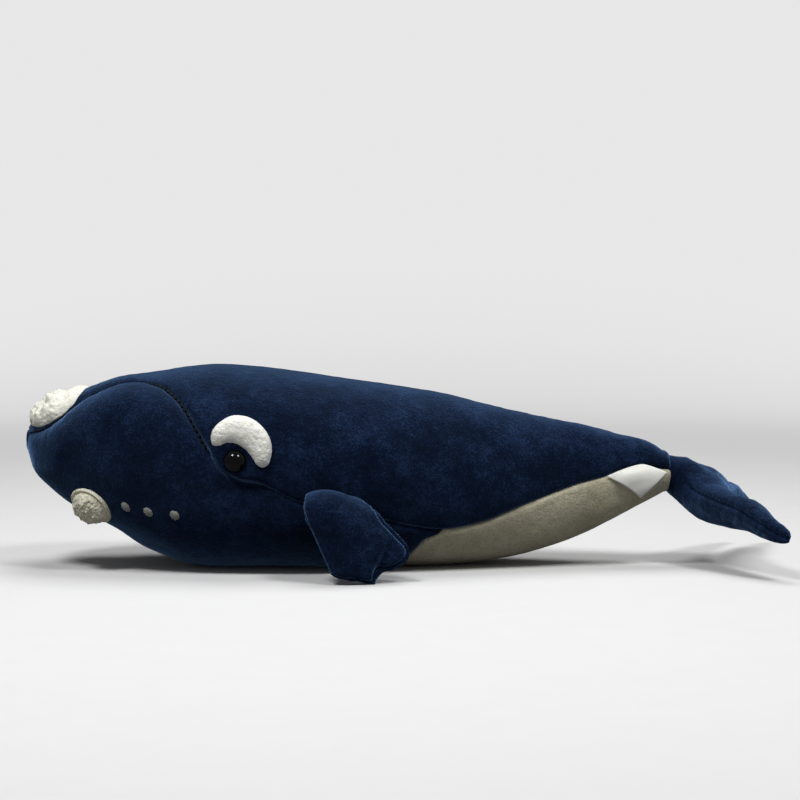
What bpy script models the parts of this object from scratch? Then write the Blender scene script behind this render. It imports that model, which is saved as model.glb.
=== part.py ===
"""A stuffed plush whale, sewn from plush panels over loose fibre filling.

The head points to -X and the tail to +X. The whale's left side is at -Y.
The whale lies on its belly on the plane z = 0.
"""
import functools
import math

import bmesh
import bpy
import numpy as np
from mathutils import Matrix, Vector
from mathutils.bvhtree import BVHTree

# Trunk sizes
TRUNK_LENGTH = 0.341
TRUNK_HEIGHT = 0.107
TRUNK_WIDTH = 0.105
FLUKE_REACH = 0.0555
FLOOR_CUT = 0.0005
FOOT_HALF_WIDTH = 0.0105
SNOUT_X = -(TRUNK_LENGTH + FLUKE_REACH) / 2

# Fabric and sewing
PLUSH_THICKNESS = 0.0024
FILLING_CLEARANCE = 0.0005
TRUNK_FILLING_CLEARANCE = 0.0021
SEAM_GAP = 0.0003
SEAM_DIP = 0.0010
SEAM_ROLL = 0.0026
SEAT_GAP = 0.00035

# Sections of the trunk: station along it, top, bottom and half width.
# The station is a share of the length, top and bottom are shares of the height,
# and the half width is a share of the width.
TRUNK_SECTION_SHARES = (
    (0.0, 0.649, 0.649, 0.0),
    (0.0127, 0.705, 0.515, 0.133),
    (0.0316, 0.750, 0.421, 0.205),
    (0.0552, 0.805, 0.350, 0.267),
    (0.0976, 0.878, 0.262, 0.333),
    (0.150, 0.939, 0.187, 0.390),
    (0.207, 0.965, 0.087, 0.433),
    (0.263, 0.990, 0.017, 0.467),
    (0.302, 1.0, 0.0, 0.486),
    (0.358, 0.990, 0.0, 0.5),
    (0.434, 0.960, 0.0, 0.5),
    (0.510, 0.924, 0.0, 0.476),
    (0.586, 0.890, 0.0, 0.433),
    (0.661, 0.850, 0.005, 0.371),
    (0.737, 0.790, 0.029, 0.305),
    (0.813, 0.738, 0.085, 0.238),
    (0.889, 0.690, 0.178, 0.176),
    (0.945, 0.636, 0.272, 0.140),
    (1.0, 0.565, 0.369, 0.119),
)
MIDDLE_SHARE = 0.47
SNOUT_TURN_SHARE = 0.8
OVER_POWER_SHARES = ((0.0, 0.82), (0.25, 0.82), (0.75, 0.95), (1.0, 0.95))
UNDER_POWER_SHARES = ((0.0, 0.80), (0.5, 0.80), (0.9, 0.95), (1.0, 0.95))

# Side seam: the mouth line, then the join of back and belly.
# Each row holds the station and the share of the section's height.
SIDE_SEAM_SHARES = (
    (0.0, 0.90), (0.012, 0.835), (0.040, 0.817), (0.060, 0.850), (0.076, 0.893),
    (0.092, 0.924), (0.130, 0.954), (0.162, 0.968), (0.187, 0.965), (0.207, 0.948),
    (0.224, 0.923), (0.238, 0.892), (0.252, 0.850), (0.267, 0.785), (0.282, 0.705),
    (0.297, 0.625), (0.315, 0.540), (0.340, 0.480), (0.385, 0.450), (0.437, 0.378),
    (0.498, 0.338), (0.564, 0.307), (0.607, 0.280), (0.656, 0.262), (0.710, 0.292),
    (0.780, 0.386), (0.857, 0.485), (0.908, 0.535), (0.935, 0.590), (0.962, 0.640), (1.0, 0.615),
)
# Front edge of the pale belly panel, as a share of the walk up to the side seam.
BELLY_EDGE_SHARES = (
    (0.5835, 0.0), (0.588, 0.33), (0.607, 0.65), (0.626, 0.85), (0.649, 0.95), (0.656, 1.0),
)
NOSE_STATION_SHARES = (0.0050, 0.0062, 0.0078)
JAW_END_SHARE = 0.649
BELLY_START_SHARE = 0.5853

# Head relief: a valley along the mouth line and the swell of the cheek under it.
MOUTH_VALLEY = 0.0016
MOUTH_VALLEY_SPREAD = 0.0045
CHEEK_RISE = 0.0022
CHEEK_DROP = 0.0190
CHEEK_SPREAD = 0.0120
MOUTH_FADE_SHARES = ((0.0, 0.0), (0.03, 0.7), (0.10, 1.0), (0.25, 1.0), (0.33, 0.0), (1.0, 0.0))

# Mesh counts and the width of the numeric probe for normals
TRUNK_STATIONS = 31
UPPER_COLUMNS = 11
LOWER_COLUMNS = 9
BELLY_COLUMNS = 11
FILLING_COLUMNS = 12
RING_STEPS = 160
PROBE_SHARE = 0.0004
NARROW_BRIM_SHARE = 0.25
LIMB_BRIM_SHARE = 0.5
FOOT_SHARE = 0.3
WELD_SHARE = 0.01
SMOOTH_DEGREES = 40.0
CROWN_SHARE = 0.2

# Eyes
EYE_STATION_SHARE = 0.3412
EYE_HEIGHT_SHARE = 0.566
EYE_DIAMETER = 0.012
EYE_DOME_HEIGHT = 0.0046
EYE_RIM = 0.0006
EYE_STEM_DIAMETER = 0.0040
EYE_STEM_END = 0.0020
EYE_STEM_CLEARANCE = 0.00025
WASHER_DIAMETER = 0.0135
WASHER_THICKNESS = 0.0016
WASHER_SEAT = 0.0014
EYE_STEPS = 16

# White patches: thickness at the rim and at the crown above it
PATCH_RIM = 0.0012
ROSTRUM_CROWN = 0.0056
ROSTRUM_SEAT_GAP = 0.00085
CHIN_CROWN = 0.0032
BROW_CROWN = 0.0034
PATCH_LEVELS = 3
ROUND_POWER = 0.5
SEWN_EDGE_POWER = 0.62
ROOT_POWER = 1.0
ROSTRUM_OUTLINE_SHARES = (
    (0.0105, 0.0), (0.0115, 0.42), (0.017, 0.74), (0.030, 0.88), (0.048, 0.90), (0.064, 0.88),
    (0.080, 0.78), (0.091, 0.52), (0.098, 0.22), (0.100, 0.0),
)
ROSTRUM_SPINE_SHARES = (0.026, 0.080)
ROSTRUM_CROWN_SHARES = ((0.0, 1.0), (0.050, 0.95), (0.100, 0.30))
CHIN_STATION_SHARE = 0.116
CHIN_HEIGHT_SHARE = 0.135
CHIN_DIAMETER = 0.0235
CHIN_POINTS = 18

# Brow patch over the eye, from the eye's centre, as shares of the eye's diameter:
# back along the trunk, and up.
BROW_OUTLINE_SHARES = (
    (-1.02, 0.90), (-0.98, 1.22), (-0.78, 1.52), (-0.50, 1.74), (-0.16, 1.90), (0.20, 1.92),
    (0.58, 1.84), (0.96, 1.64), (1.28, 1.34), (1.50, 0.98), (1.60, 0.58), (1.56, 0.16),
    (1.40, -0.12), (1.18, -0.22), (0.94, -0.12), (0.76, 0.16), (0.56, 0.42), (0.28, 0.62),
    (-0.02, 0.74), (-0.30, 0.76), (-0.60, 0.64), (-0.88, 0.66),
)
BROW_SPINE_SHARES = (
    (-0.66, 1.10), (-0.30, 1.30), (0.10, 1.34), (0.50, 1.24), (0.84, 0.98), (1.08, 0.62),
    (1.18, 0.22),
)

# Embroidered spots along the jaw: station and height share of each
SPOT_PLACE_SHARES = ((0.1734, 0.236), (0.2088, 0.258), (0.2497, 0.284))
SPOT_DIAMETER = 0.0055
SPOT_HEIGHT = 0.0010
SPOT_PROFILE_SHARES = ((0.94, 0.50), (0.55, 0.92))
SPOT_STEPS = 12

# Mouth stitching: a heavy thread over the rear of the mouth line
MOUTH_THREAD_DIAMETER = 0.0013
MOUTH_THREAD_LIFT = 0.0006
MOUTH_THREAD_STATION_SHARES = (0.226, 0.300)
MOUTH_THREAD_POINTS = 22

# Flippers: the seam in the flank, and the outline across and along the blade.
# Outline rows hold shares of the root length and of the blade length.
FLIPPER_ROOT_LENGTH = 0.0265
FLIPPER_LENGTH = 0.0540
FLIPPER_FULLNESS = 0.0150
FLIPPER_ROOT_LIFT = 0.0003
FLIPPER_HINGE_RISE = 0.0050
FLIPPER_ROOT_SHARES = ((0.4405, 0.372), (0.5165, 0.335))
FLIPPER_OUTLINE_SHARES = (
    (0.48, 0.0), (0.70, 0.11), (0.94, 0.24), (1.19, 0.37), (1.42, 0.50), (1.56, 0.62),
    (1.59, 0.74), (1.48, 0.85), (1.24, 0.94), (0.94, 0.99), (0.62, 1.0), (0.33, 0.965),
    (0.08, 0.89), (-0.12, 0.77), (-0.29, 0.64), (-0.45, 0.51), (-0.56, 0.37), (-0.56, 0.19),
    (-0.47, 0.0), (-0.25, 0.0), (0.0, 0.0), (0.25, 0.0),
)
FLIPPER_SPINE_SHARES = ((0.06, 0.27), (0.36, 0.48), (0.64, 0.70))
FLIPPER_FULLNESS_SHARES = (1.0, 0.92, 0.66)
# Path of the blade away from the flank: shares of its length walked, out and down.
FLIPPER_PATH_SHARES = (
    (0.0, 0.0, 0.0), (0.08, 0.072, -0.034), (0.17, 0.150, -0.078), (0.26, 0.234, -0.090),
    (0.35, 0.309, -0.046), (0.50, 0.378, 0.086), (0.68, 0.415, 0.262), (0.85, 0.452, 0.428),
    (1.0, 0.502, 0.568),
)
FLIPPER_PROBE_SHARE = 0.04
FLIPPER_LEVELS = 4

# Flukes: hinge bead inside the tail, then two swept lobes in one sewn piece.
# Outline rows hold shares of the reach behind the hinge and of the half span.
TAIL_SEAM_SETBACK = 0.0030
FLUKE_SPAN = 0.141
FLUKE_LENGTH = 0.0588
FLUKE_SLOPE_DEGREES = 25.0
FLUKE_FULLNESS = 0.0250
FLUKE_DROOP = 0.0024
FLUKE_OUTLINE_SHARES = (
    (0.06, 0.150), (0.14, 0.185), (0.23, 0.265), (0.33, 0.380), (0.45, 0.520), (0.58, 0.670),
    (0.72, 0.815), (0.87, 0.945), (0.975, 1.0), (1.0, 0.975), (0.965, 0.86), (0.90, 0.70),
    (0.825, 0.52), (0.750, 0.35), (0.690, 0.18), (0.655, 0.06),
)
FLUKE_NOTCH_SHARE = 0.645
FLUKE_SPINE_SHARES = ((0.0, 0.0), (0.16, 0.03), (0.32, 0.12), (0.48, 0.30), (0.66, 0.55), (0.84, 0.82))
FLUKE_FULLNESS_SHARES = (0.92, 1.0, 0.90, 0.70, 0.48)
FLUKE_LEVELS = 4
BEAD_CLEARANCE = 0.0004
BEAD_STEPS = 8

# Folded care label sewn into the side seam near the tail
# Corners: station share, and share of the drop below the seam
LABEL_CORNER_SHARES = ((0.907, 0.0), (0.962, -0.06), (0.995, 0.12), (0.959, 1.0))
LABEL_DROP = 0.0155
LABEL_TAPE = 0.00035
LABEL_SEAT_GAP = 0.0002
LABEL_STAND_OFF = 0.0020
LABEL_COLUMNS = 5
LABEL_ROWS = 5

NAVY = (0.012, 0.023, 0.058)
NAVY_PALE = (0.016, 0.029, 0.068)
CREAM = (0.72, 0.69, 0.60)
WHITE_PILE = (0.86, 0.86, 0.82)
FIBRE = (0.90, 0.90, 0.88)
BLACK = (0.008, 0.008, 0.009)
THREAD_DARK = (0.030, 0.032, 0.020)
THREAD_PALE = (0.70, 0.71, 0.70)
SATIN = (0.85, 0.85, 0.84)
CLEAR_PLASTIC = (0.80, 0.80, 0.78)


def clear_objects():
    for thing in list(bpy.data.objects):
        bpy.data.objects.remove(thing, do_unlink=True)


def make_material(name, colour, roughness, metallic=0.0):
    material = bpy.data.materials.new(name)
    material.use_nodes = True
    shader = material.node_tree.nodes["Principled BSDF"]
    shader.inputs["Base Color"].default_value = (*colour, 1.0)
    shader.inputs["Roughness"].default_value = roughness
    shader.inputs["Metallic"].default_value = metallic
    material.diffuse_color = (*colour, 1.0)
    return material


# Smooth functions along the trunk

def ease(station):
    """Even steps of the result lie close together at the snout and at the tail."""
    turn = SNOUT_TURN_SHARE * math.pi
    return np.arccos(1 - (1 - math.cos(turn)) * np.clip(station, 0, 1)) / turn


def station_at(eased):
    turn = SNOUT_TURN_SHARE * math.pi
    return (1 - math.cos(turn * eased)) / (1 - math.cos(turn))


def smooth_through(knots, values):
    """A smooth function of one number through the given values."""
    knots = np.array(knots, dtype=float)
    values = np.array(values, dtype=float)
    steps = np.diff(knots)
    rises = np.diff(values) / steps
    slopes = np.empty_like(values)
    slopes[0] = rises[0]
    slopes[-1] = rises[-1]
    slopes[1:-1] = (rises[:-1] * steps[1:] + rises[1:] * steps[:-1]) / (steps[1:] + steps[:-1])

    def value_at(wanted):
        place = np.clip(wanted, knots[0], knots[-1])
        left = int(np.clip(np.searchsorted(knots, place) - 1, 0, len(steps) - 1))
        step = steps[left]
        part = (place - knots[left]) / step
        near = values[left] * (2 * part**3 - 3 * part**2 + 1)
        far = values[left + 1] * (3 * part**2 - 2 * part**3)
        leave = slopes[left] * step * (part**3 - 2 * part**2 + part)
        arrive = slopes[left + 1] * step * (part**3 - part**2)
        return float(near + far + leave + arrive)

    return value_at


def smooth_curve(stations, values):
    """A smooth function of the station through the given values."""
    value_at = smooth_through(ease(np.array(stations)), values)
    return lambda station: value_at(ease(station))


STATIONS, TOPS, BOTTOMS, HALVES = zip(*TRUNK_SECTION_SHARES)
top_share = smooth_curve(STATIONS, TOPS)
bottom_share = smooth_curve(STATIONS, BOTTOMS)
half_share = smooth_curve(STATIONS, HALVES)
seam_share = smooth_curve(*zip(*SIDE_SEAM_SHARES))


def table_value(table, station):
    stations, values = zip(*table)
    return float(np.interp(station, stations, values))


def section_points(station, angle):
    """Points of the bare section: angle 0 at the bottom centre, pi at the top centre."""
    top = TRUNK_HEIGHT * top_share(station)
    bottom = TRUNK_HEIGHT * bottom_share(station) - FLOOR_CUT
    half = TRUNK_WIDTH * max(half_share(station), 0.0)
    middle = bottom + MIDDLE_SHARE * (top - bottom)
    down = np.cos(angle)
    out = np.sin(angle)
    over = table_value(OVER_POWER_SHARES, station)
    under = table_value(UNDER_POWER_SHARES, station)
    power = np.where(down > 0, under, over)
    reach = np.where(down > 0, bottom - middle, top - middle)
    y = half * np.sign(out) * np.abs(out) ** power
    z = middle + reach * np.abs(down) ** power
    x = np.full_like(y, SNOUT_X + TRUNK_LENGTH * station)
    return np.stack([x, y, z], axis=-1)


def section_normals(station, angle):
    """Outward normals of the bare trunk, worked out from near points."""
    ahead = section_points(min(station + PROBE_SHARE, 1.0), angle)
    behind = section_points(max(station - PROBE_SHARE, 0.0), angle)
    along = ahead - behind
    around = section_points(station, angle + PROBE_SHARE) - section_points(station, angle - PROBE_SHARE)
    normals = np.cross(around, along)
    size = np.linalg.norm(normals, axis=-1, keepdims=True)
    at_snout = size < np.max(size) * PROBE_SHARE if station > 0 else np.ones_like(size, dtype=bool)
    return np.where(at_snout, np.array([-1.0, 0.0, 0.0]), normals / np.maximum(size, np.finfo(float).tiny))


class Ring:
    """One section of the trunk, walked from the bottom centre up to the top centre.

    A walk above zero is on the whale's right, at +Y, and one below zero on its left.
    """

    def __init__(self, station):
        angle = np.linspace(0, math.pi, RING_STEPS + 1)
        self.station = station
        self.points = section_points(station, angle)
        self.normals = section_normals(station, angle)
        steps = np.linalg.norm(np.diff(self.points, axis=0), axis=1)
        self.walks = np.concatenate([[0.0], np.cumsum(steps)])
        self.length = float(self.walks[-1])
        self.seam = self.walk_at_height(seam_share(station))
        self.fade = table_value(MOUTH_FADE_SHARES, station)

    def walk_at_height(self, share):
        heights = self.points[:, 2]
        wanted = heights[0] + share * (heights[-1] - heights[0])
        return float(np.interp(wanted, heights, self.walks))

    def relief(self, walk):
        """How far the surface swells out of the bare section."""
        away = abs(walk) - self.seam
        valley = MOUTH_VALLEY * math.exp(-(away / MOUTH_VALLEY_SPREAD) ** 2)
        cheek = CHEEK_RISE * math.exp(-((away + CHEEK_DROP) / CHEEK_SPREAD) ** 2)
        return self.fade * (cheek - valley)

    def frame(self, walk):
        """The bare point and the outward normal at a walk."""
        side = -1.0 if walk < 0 else 1.0
        reach = min(abs(walk), self.length)
        point = np.array([np.interp(reach, self.walks, self.points[:, k]) for k in range(3)])
        normal = np.array([np.interp(reach, self.walks, self.normals[:, k]) for k in range(3)])
        normal /= np.linalg.norm(normal)
        mirror = np.array([1.0, side, 1.0])
        return point * mirror, normal * mirror

    def place(self, walk, depth):
        """A point at a depth under the surface, and never under the floor."""
        point, normal = self.frame(walk)
        point = point + normal * (self.relief(walk) - depth)
        point[2] = max(point[2], 0.0)
        return point

    def core(self, walk, depth):
        """A point at a depth under the deepest relief of the section."""
        return self.place(walk, depth + self.relief(walk) + self.fade * MOUTH_VALLEY)


@functools.lru_cache(maxsize=None)
def ring_at(station):
    return Ring(station)


@functools.lru_cache(maxsize=None)
def seam_stretch(station):
    """How much longer a step along the ring is than a step square to the side seam."""
    ahead = min(station + PROBE_SHARE, 1.0)
    behind = max(station - PROBE_SHARE, 0.0)
    rise = ring_at(ahead).seam - ring_at(behind).seam
    return math.hypot(1.0, rise / ((ahead - behind) * TRUNK_LENGTH))


def belly_edge(station):
    """The walk to the edge of the belly panel, behind its front."""
    return ring_at(station).seam * table_value(BELLY_EDGE_SHARES, station)


@functools.lru_cache(maxsize=None)
def belly_stretch(station):
    ahead = min(station + PROBE_SHARE, 1.0)
    behind = max(station - PROBE_SHARE, 0.0)
    rise = belly_edge(ahead) - belly_edge(behind)
    return math.hypot(1.0, rise / ((ahead - behind) * TRUNK_LENGTH))


# Mesh helpers

def finish_object(name, mesh_builder, material, smooth=True):
    """Put a finished bmesh on a new object with its material."""
    bmesh.ops.recalc_face_normals(mesh_builder, faces=mesh_builder.faces)
    mesh = bpy.data.meshes.new(name)
    mesh_builder.to_mesh(mesh)
    mesh_builder.free()
    if smooth:
        mesh.shade_smooth()
        mesh.set_sharp_from_angle(angle=math.radians(SMOOTH_DEGREES))
    thing = bpy.data.objects.new(name, mesh)
    mesh.materials.append(material)
    bpy.context.scene.collection.objects.link(thing)
    return thing


def put_origin(thing, point):
    """Move an object's origin to a point without moving its surface."""
    thing.data.transform(Matrix.Translation(-Vector(point)))
    thing.location = Vector(point)


def add_rows(mesh, rows):
    return [[mesh.verts.new(point) for point in row] for row in rows]


def bridge_rows(mesh, rows, closed=False):
    """Quads between neighbouring rows of corners."""
    for first, second in zip(rows, rows[1:]):
        count = len(first)
        for k in range(count if closed else count - 1):
            after = (k + 1) % count
            mesh.faces.new((first[k], first[after], second[after], second[k]))


def weld(mesh):
    bmesh.ops.remove_doubles(mesh, verts=mesh.verts, dist=SEAM_GAP * WELD_SHARE)
    bmesh.ops.dissolve_degenerate(mesh, edges=mesh.edges, dist=SEAM_GAP * WELD_SHARE)


def shell_mesh(outer_rows, inner_rows):
    """A closed shell between two open grids of the same size."""
    mesh = bmesh.new()
    outer = add_rows(mesh, outer_rows)
    inner = add_rows(mesh, inner_rows)
    bridge_rows(mesh, outer)
    bridge_rows(mesh, inner)
    for edge in (0, -1):
        bridge_rows(mesh, [outer[edge], inner[edge]])
        bridge_rows(mesh, [[row[edge] for row in outer], [row[edge] for row in inner]])
    weld(mesh)
    return mesh


def turned_mesh(profile, steps, origin, axis):
    """A turned solid: profile rows hold the radius and the height along the axis."""
    up = Vector(axis).normalized()
    side = up.orthogonal().normalized()
    other = up.cross(side)
    mesh = bmesh.new()
    rows = []
    for radius, height in profile:
        row = []
        for k in range(steps):
            turn = 2 * math.pi * k / steps
            spoke = side * math.cos(turn) + other * math.sin(turn)
            row.append(mesh.verts.new(Vector(origin) + up * height + spoke * radius))
        rows.append(row)
    return mesh, rows


def turned_solid(name, profile, steps, origin, axis, material):
    """A turned solid whose profile starts and ends on the axis."""
    mesh, rows = turned_mesh(profile, steps, origin, axis)
    bridge_rows(mesh, rows, closed=True)
    weld(mesh)
    return finish_object(name, mesh, material)


def turned_ring(name, profile, steps, origin, axis, material):
    """A turned ring whose profile is a closed loop off the axis."""
    mesh, rows = turned_mesh(profile, steps, origin, axis)
    bridge_rows(mesh, rows + rows[:1], closed=True)
    return finish_object(name, mesh, material)


def cut_away(target, profile, steps, origin, axis):
    """Cut a turned shape out of a solid."""
    cutter = turned_solid(target.name + "_cutter", profile, steps, origin, axis, target.data.materials[0])
    cutter.hide_render = True
    cutter.display_type = "WIRE"
    cut = target.modifiers.new("hole", "BOOLEAN")
    cut.operation = "DIFFERENCE"
    cut.object = cutter


# Trunk

def eased_stations():
    even = [station_at(k / (TRUNK_STATIONS - 1)) for k in range(TRUNK_STATIONS)]
    special = [row[0] for row in BELLY_EDGE_SHARES] + [BELLY_START_SHARE]
    nearest = NARROW_BRIM_SHARE / TRUNK_STATIONS
    kept = [s for s in even if min(abs(s - other) for other in special) > nearest]
    kept = [s for s in kept if s == 0.0 or s > NOSE_STATION_SHARES[-1]]
    return sorted(kept + special + list(NOSE_STATION_SHARES))


def column_walks(low, high, count):
    """Walks across a panel, with one short step in from each edge."""
    span = high - low
    brim = math.copysign(min(SEAM_ROLL, abs(span) * NARROW_BRIM_SHARE), span)
    inner = np.linspace(low + brim, high - brim, count - 2)
    return [low, *inner, high]


def footed_walks(low, high, count):
    """Walks across a lower panel, with a column where the flat underside ends."""
    span = high - low
    brim = math.copysign(min(SEAM_ROLL, abs(span) * NARROW_BRIM_SHARE), span)
    foot = math.copysign(min(FOOT_HALF_WIDTH, abs(span) * FOOT_SHARE), span)
    inner = np.linspace(low + foot, high - brim, count - 3)
    return [low, low + brim, *inner, high]


def belly_walks(low, high, count):
    """Walks across both sides of the belly, with columns where the flat underside ends."""
    brim = min(SEAM_ROLL, high * NARROW_BRIM_SHARE)
    inner = np.linspace(min(FOOT_HALF_WIDTH, high * FOOT_SHARE), high - brim, count // 2 - 1)
    half = [*inner, high]
    return [-walk for walk in reversed(half)] + [0.0] + half


def panel(name, stations, low_edge, high_edge, count, side, material, spread=column_walks):
    """One sewn piece of plush between two edges, its rim rolled in towards the seams."""
    outer_rows = []
    inner_rows = []
    for station in stations:
        ring = ring_at(station)
        walks = spread(low_edge(station), high_edge(station), count)
        dips = [SEAM_DIP] + [0.0] * (count - 2) + [SEAM_DIP]
        outer = [ring.place(walk, dip) for walk, dip in zip(walks, dips)]
        inner = [ring.place(walk, PLUSH_THICKNESS) for walk in walks]
        if side:
            outer = [keep_off_centre(point, side) for point in outer]
            inner = [keep_off_centre(point, side) for point in inner]
        outer_rows.append(outer)
        inner_rows.append(inner)
    return finish_object(name, shell_mesh(outer_rows, inner_rows), material)


def keep_off_centre(point, side):
    x, y, z = point
    return (x, side * max(side * y, SEAM_GAP / 2), z)


def back_panel(name, side, material):
    """From the side seam up to the seam along the back."""
    stations = [s for s in eased_stations() if s >= NOSE_STATION_SHARES[2]]

    def low(station):
        ring = ring_at(station)
        return side * (ring.seam + seam_stretch(station) * SEAM_GAP / 2)

    def high(station):
        return side * ring_at(station).length

    return panel(name, stations, low, high, UPPER_COLUMNS, side, material)


def jaw_panel(name, side, material):
    """Cheek, jaw and chest, from the seam under the throat up to the side seam."""
    stations = [s for s in eased_stations() if s <= JAW_END_SHARE]
    stations.remove(BELLY_START_SHARE)

    def low(station):
        if station <= BELLY_EDGE_SHARES[0][0]:
            return 0.0
        return side * (belly_edge(station) + belly_stretch(station) * SEAM_GAP / 2)

    def high(station):
        ring = ring_at(station)
        if station <= NOSE_STATION_SHARES[0]:
            return side * ring.length
        return side * (ring.seam - seam_stretch(station) * SEAM_GAP / 2)

    stations = [s for s in stations if s != NOSE_STATION_SHARES[2]]
    return panel(name, stations, low, high, LOWER_COLUMNS, side, material, footed_walks)


def belly_panel(name, material):
    """The pale panel under the rear of the trunk, across both sides."""
    stations = [s for s in eased_stations() if s >= BELLY_START_SHARE]

    def edge(station):
        stretch = seam_stretch(station) if station >= BELLY_EDGE_SHARES[-1][0] else belly_stretch(station)
        return belly_edge(station) - stretch * SEAM_GAP / 2

    return panel(name, stations, lambda s: -edge(s), edge, BELLY_COLUMNS, 0, material, belly_walks)


def trunk_filling(name, material):
    """The body of loose fibre that fills the trunk, closed at both ends."""
    depth = PLUSH_THICKNESS + TRUNK_FILLING_CLEARANCE
    bead = tail_bead()
    end = (bead["x"] - bead["radius"] - FILLING_CLEARANCE - SNOUT_X) / TRUNK_LENGTH
    stations = [s for s in eased_stations() if s < end]
    stations = [s for s in stations if s not in NOSE_STATION_SHARES[:2]] + [end]
    mesh = bmesh.new()
    rows = []
    for station in stations:
        ring = ring_at(station)
        up = np.linspace(0, ring.length, FILLING_COLUMNS + 1)
        right = [ring.core(walk, depth) for walk in up]
        left = [ring.core(-walk, depth) for walk in up[-2:0:-1]]
        rows.append([mesh.verts.new(point) for point in right + left])
    bridge_rows(mesh, rows, closed=True)
    mesh.faces.new(rows[-1])
    weld(mesh)
    return finish_object(name, mesh, material)


def tail_bead():
    """The hinge of the flukes: a bead that turns inside the end of the tail."""
    end = ring_at(1.0)
    heights = end.points[:, 2]
    half_height = (heights[-1] - heights[0]) / 2
    wall = PLUSH_THICKNESS + BEAD_CLEARANCE
    radius = math.hypot(half_height - wall, TAIL_SEAM_SETBACK)
    mouth_share = (half_height - wall) / radius
    return {
        "x": SNOUT_X + TRUNK_LENGTH + TAIL_SEAM_SETBACK,
        "z": (heights[0] + heights[-1]) / 2,
        "radius": radius,
        "half_width": (float(np.max(end.points[:, 1])) - wall) / mouth_share,
    }


# Eyes and patches

def surface_frame(station, height_share, side):
    """The surface point and outward normal at a share of the section's height."""
    ring = ring_at(station)
    walk = side * ring.walk_at_height(height_share)
    point, normal = ring.frame(walk)
    return point + normal * ring.relief(walk), normal


def eye(side_name, side, skin, filling, plastic, clear):
    point, normal = surface_frame(EYE_STATION_SHARE, EYE_HEIGHT_SHARE, side)
    radius = EYE_DIAMETER / 2
    stem = EYE_STEM_DIAMETER / 2
    seat = SEAT_GAP
    washer_top = -(PLUSH_THICKNESS + WASHER_SEAT)
    washer_bottom = washer_top - WASHER_THICKNESS
    stem_end = washer_bottom - EYE_STEM_END
    dome = [
        (radius * math.cos(turn), seat + EYE_RIM + EYE_DOME_HEIGHT * math.sin(turn))
        for turn in np.linspace(0, math.pi / 2, 6)
    ]
    profile = [(0.0, stem_end), (stem, stem_end), (stem, seat), (radius, seat), *dome]
    turned_solid(f"eye_{side_name}", profile, EYE_STEPS, point, normal, plastic)
    bore = stem + EYE_STEM_CLEARANCE
    rim = WASHER_DIAMETER / 2
    loop = [(bore, washer_bottom), (rim, washer_bottom), (rim, washer_top), (bore, washer_top)]
    turned_ring(f"eye_washer_{side_name}", loop, EYE_STEPS, point, normal, clear)
    hole = [(0.0, washer_bottom), (bore, washer_bottom), (bore, radius), (0.0, radius)]
    cut_away(skin, hole, EYE_STEPS, point, normal)
    pocket_rim = rim + FILLING_CLEARANCE
    pocket_end = stem_end - FILLING_CLEARANCE
    pocket = [(0.0, pocket_end), (pocket_rim, pocket_end), (pocket_rim, radius), (0.0, radius)]
    cut_away(filling, pocket, EYE_STEPS, point, normal)


def pillow(mesh, outline, spine, heights, powers, levels, place, floor=0.0, rim=0.0):
    """Rings of corners from the outline in towards the spine, closed by a face on the crown.

    place(a, b, height) turns a point over the flat outline into a point in space.
    """
    rows = []
    for turn in np.linspace(0, math.acos(CROWN_SHARE), levels + 1):
        share = math.cos(turn)
        climb = (1 - share**2) / (1 - CROWN_SHARE**2)
        row = []
        for (a, b), (c, d), height, power in zip(outline, spine, heights, powers):
            swell = floor + rim + height * max(climb, 0.0) ** power
            row.append(mesh.verts.new(place(c + (a - c) * share, d + (b - d) * share, swell)))
        rows.append(row)
    bridge_rows(mesh, rows, closed=True)
    crown = mesh.faces.new(rows[-1])
    bmesh.ops.triangulate(mesh, faces=[crown], ngon_method="BEAUTY")
    return rows


def patch(name, outline, spine, crowns, place, material, seat=SEAT_GAP):
    """A white pile patch: a flat underside on the skin, an upright rim and a crowned top."""
    mesh = bmesh.new()
    count = len(outline)
    powers = [ROUND_POWER] * count
    under = pillow(mesh, outline, spine, [0.0] * count, powers, PATCH_LEVELS - 1, place, seat)
    over = pillow(mesh, outline, spine, crowns, powers, PATCH_LEVELS, place, seat, PATCH_RIM)
    bridge_rows(mesh, [under[0], over[0]], closed=True)
    weld(mesh)
    return finish_object(name, mesh, material)


def nearest_on_path(point, path):
    """The nearest point of an open path, and its share of the way along the path."""
    best = None
    for k, (start, end) in enumerate(zip(path, path[1:])):
        start = np.array(start)
        run = np.array(end) - start
        part = float(np.clip(np.dot(np.array(point) - start, run) / np.dot(run, run), 0, 1))
        spot = start + run * part
        gap = float(np.linalg.norm(np.array(point) - spot))
        if best is None or gap < best[0]:
            best = (gap, tuple(spot), (k + part) / (len(path) - 1))
    return best[1], best[2]


def rostrum_patch(name, material):
    """The patch on top of the snout, as wide as the strip between the mouth lines."""
    right = [(station, share) for station, share in ROSTRUM_OUTLINE_SHARES]
    left = [(station, -share) for station, share in reversed(right[1:-1])]
    outline = right + left
    first, last = ROSTRUM_SPINE_SHARES
    spine = [(min(max(station, first), last), 0.0) for station, share in outline]
    crowns = [ROSTRUM_CROWN * table_value(ROSTRUM_CROWN_SHARES, station) for station, share in outline]

    def place(station, share, height):
        ring = ring_at(round(station, 6))
        strip = ring.length - ring.seam
        off = strip * abs(share)
        walk = math.copysign(ring.length - off, share if share else 1.0)
        return ring.place(walk, -height)

    return patch(name, outline, spine, crowns, place, material, ROSTRUM_SEAT_GAP)


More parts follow.
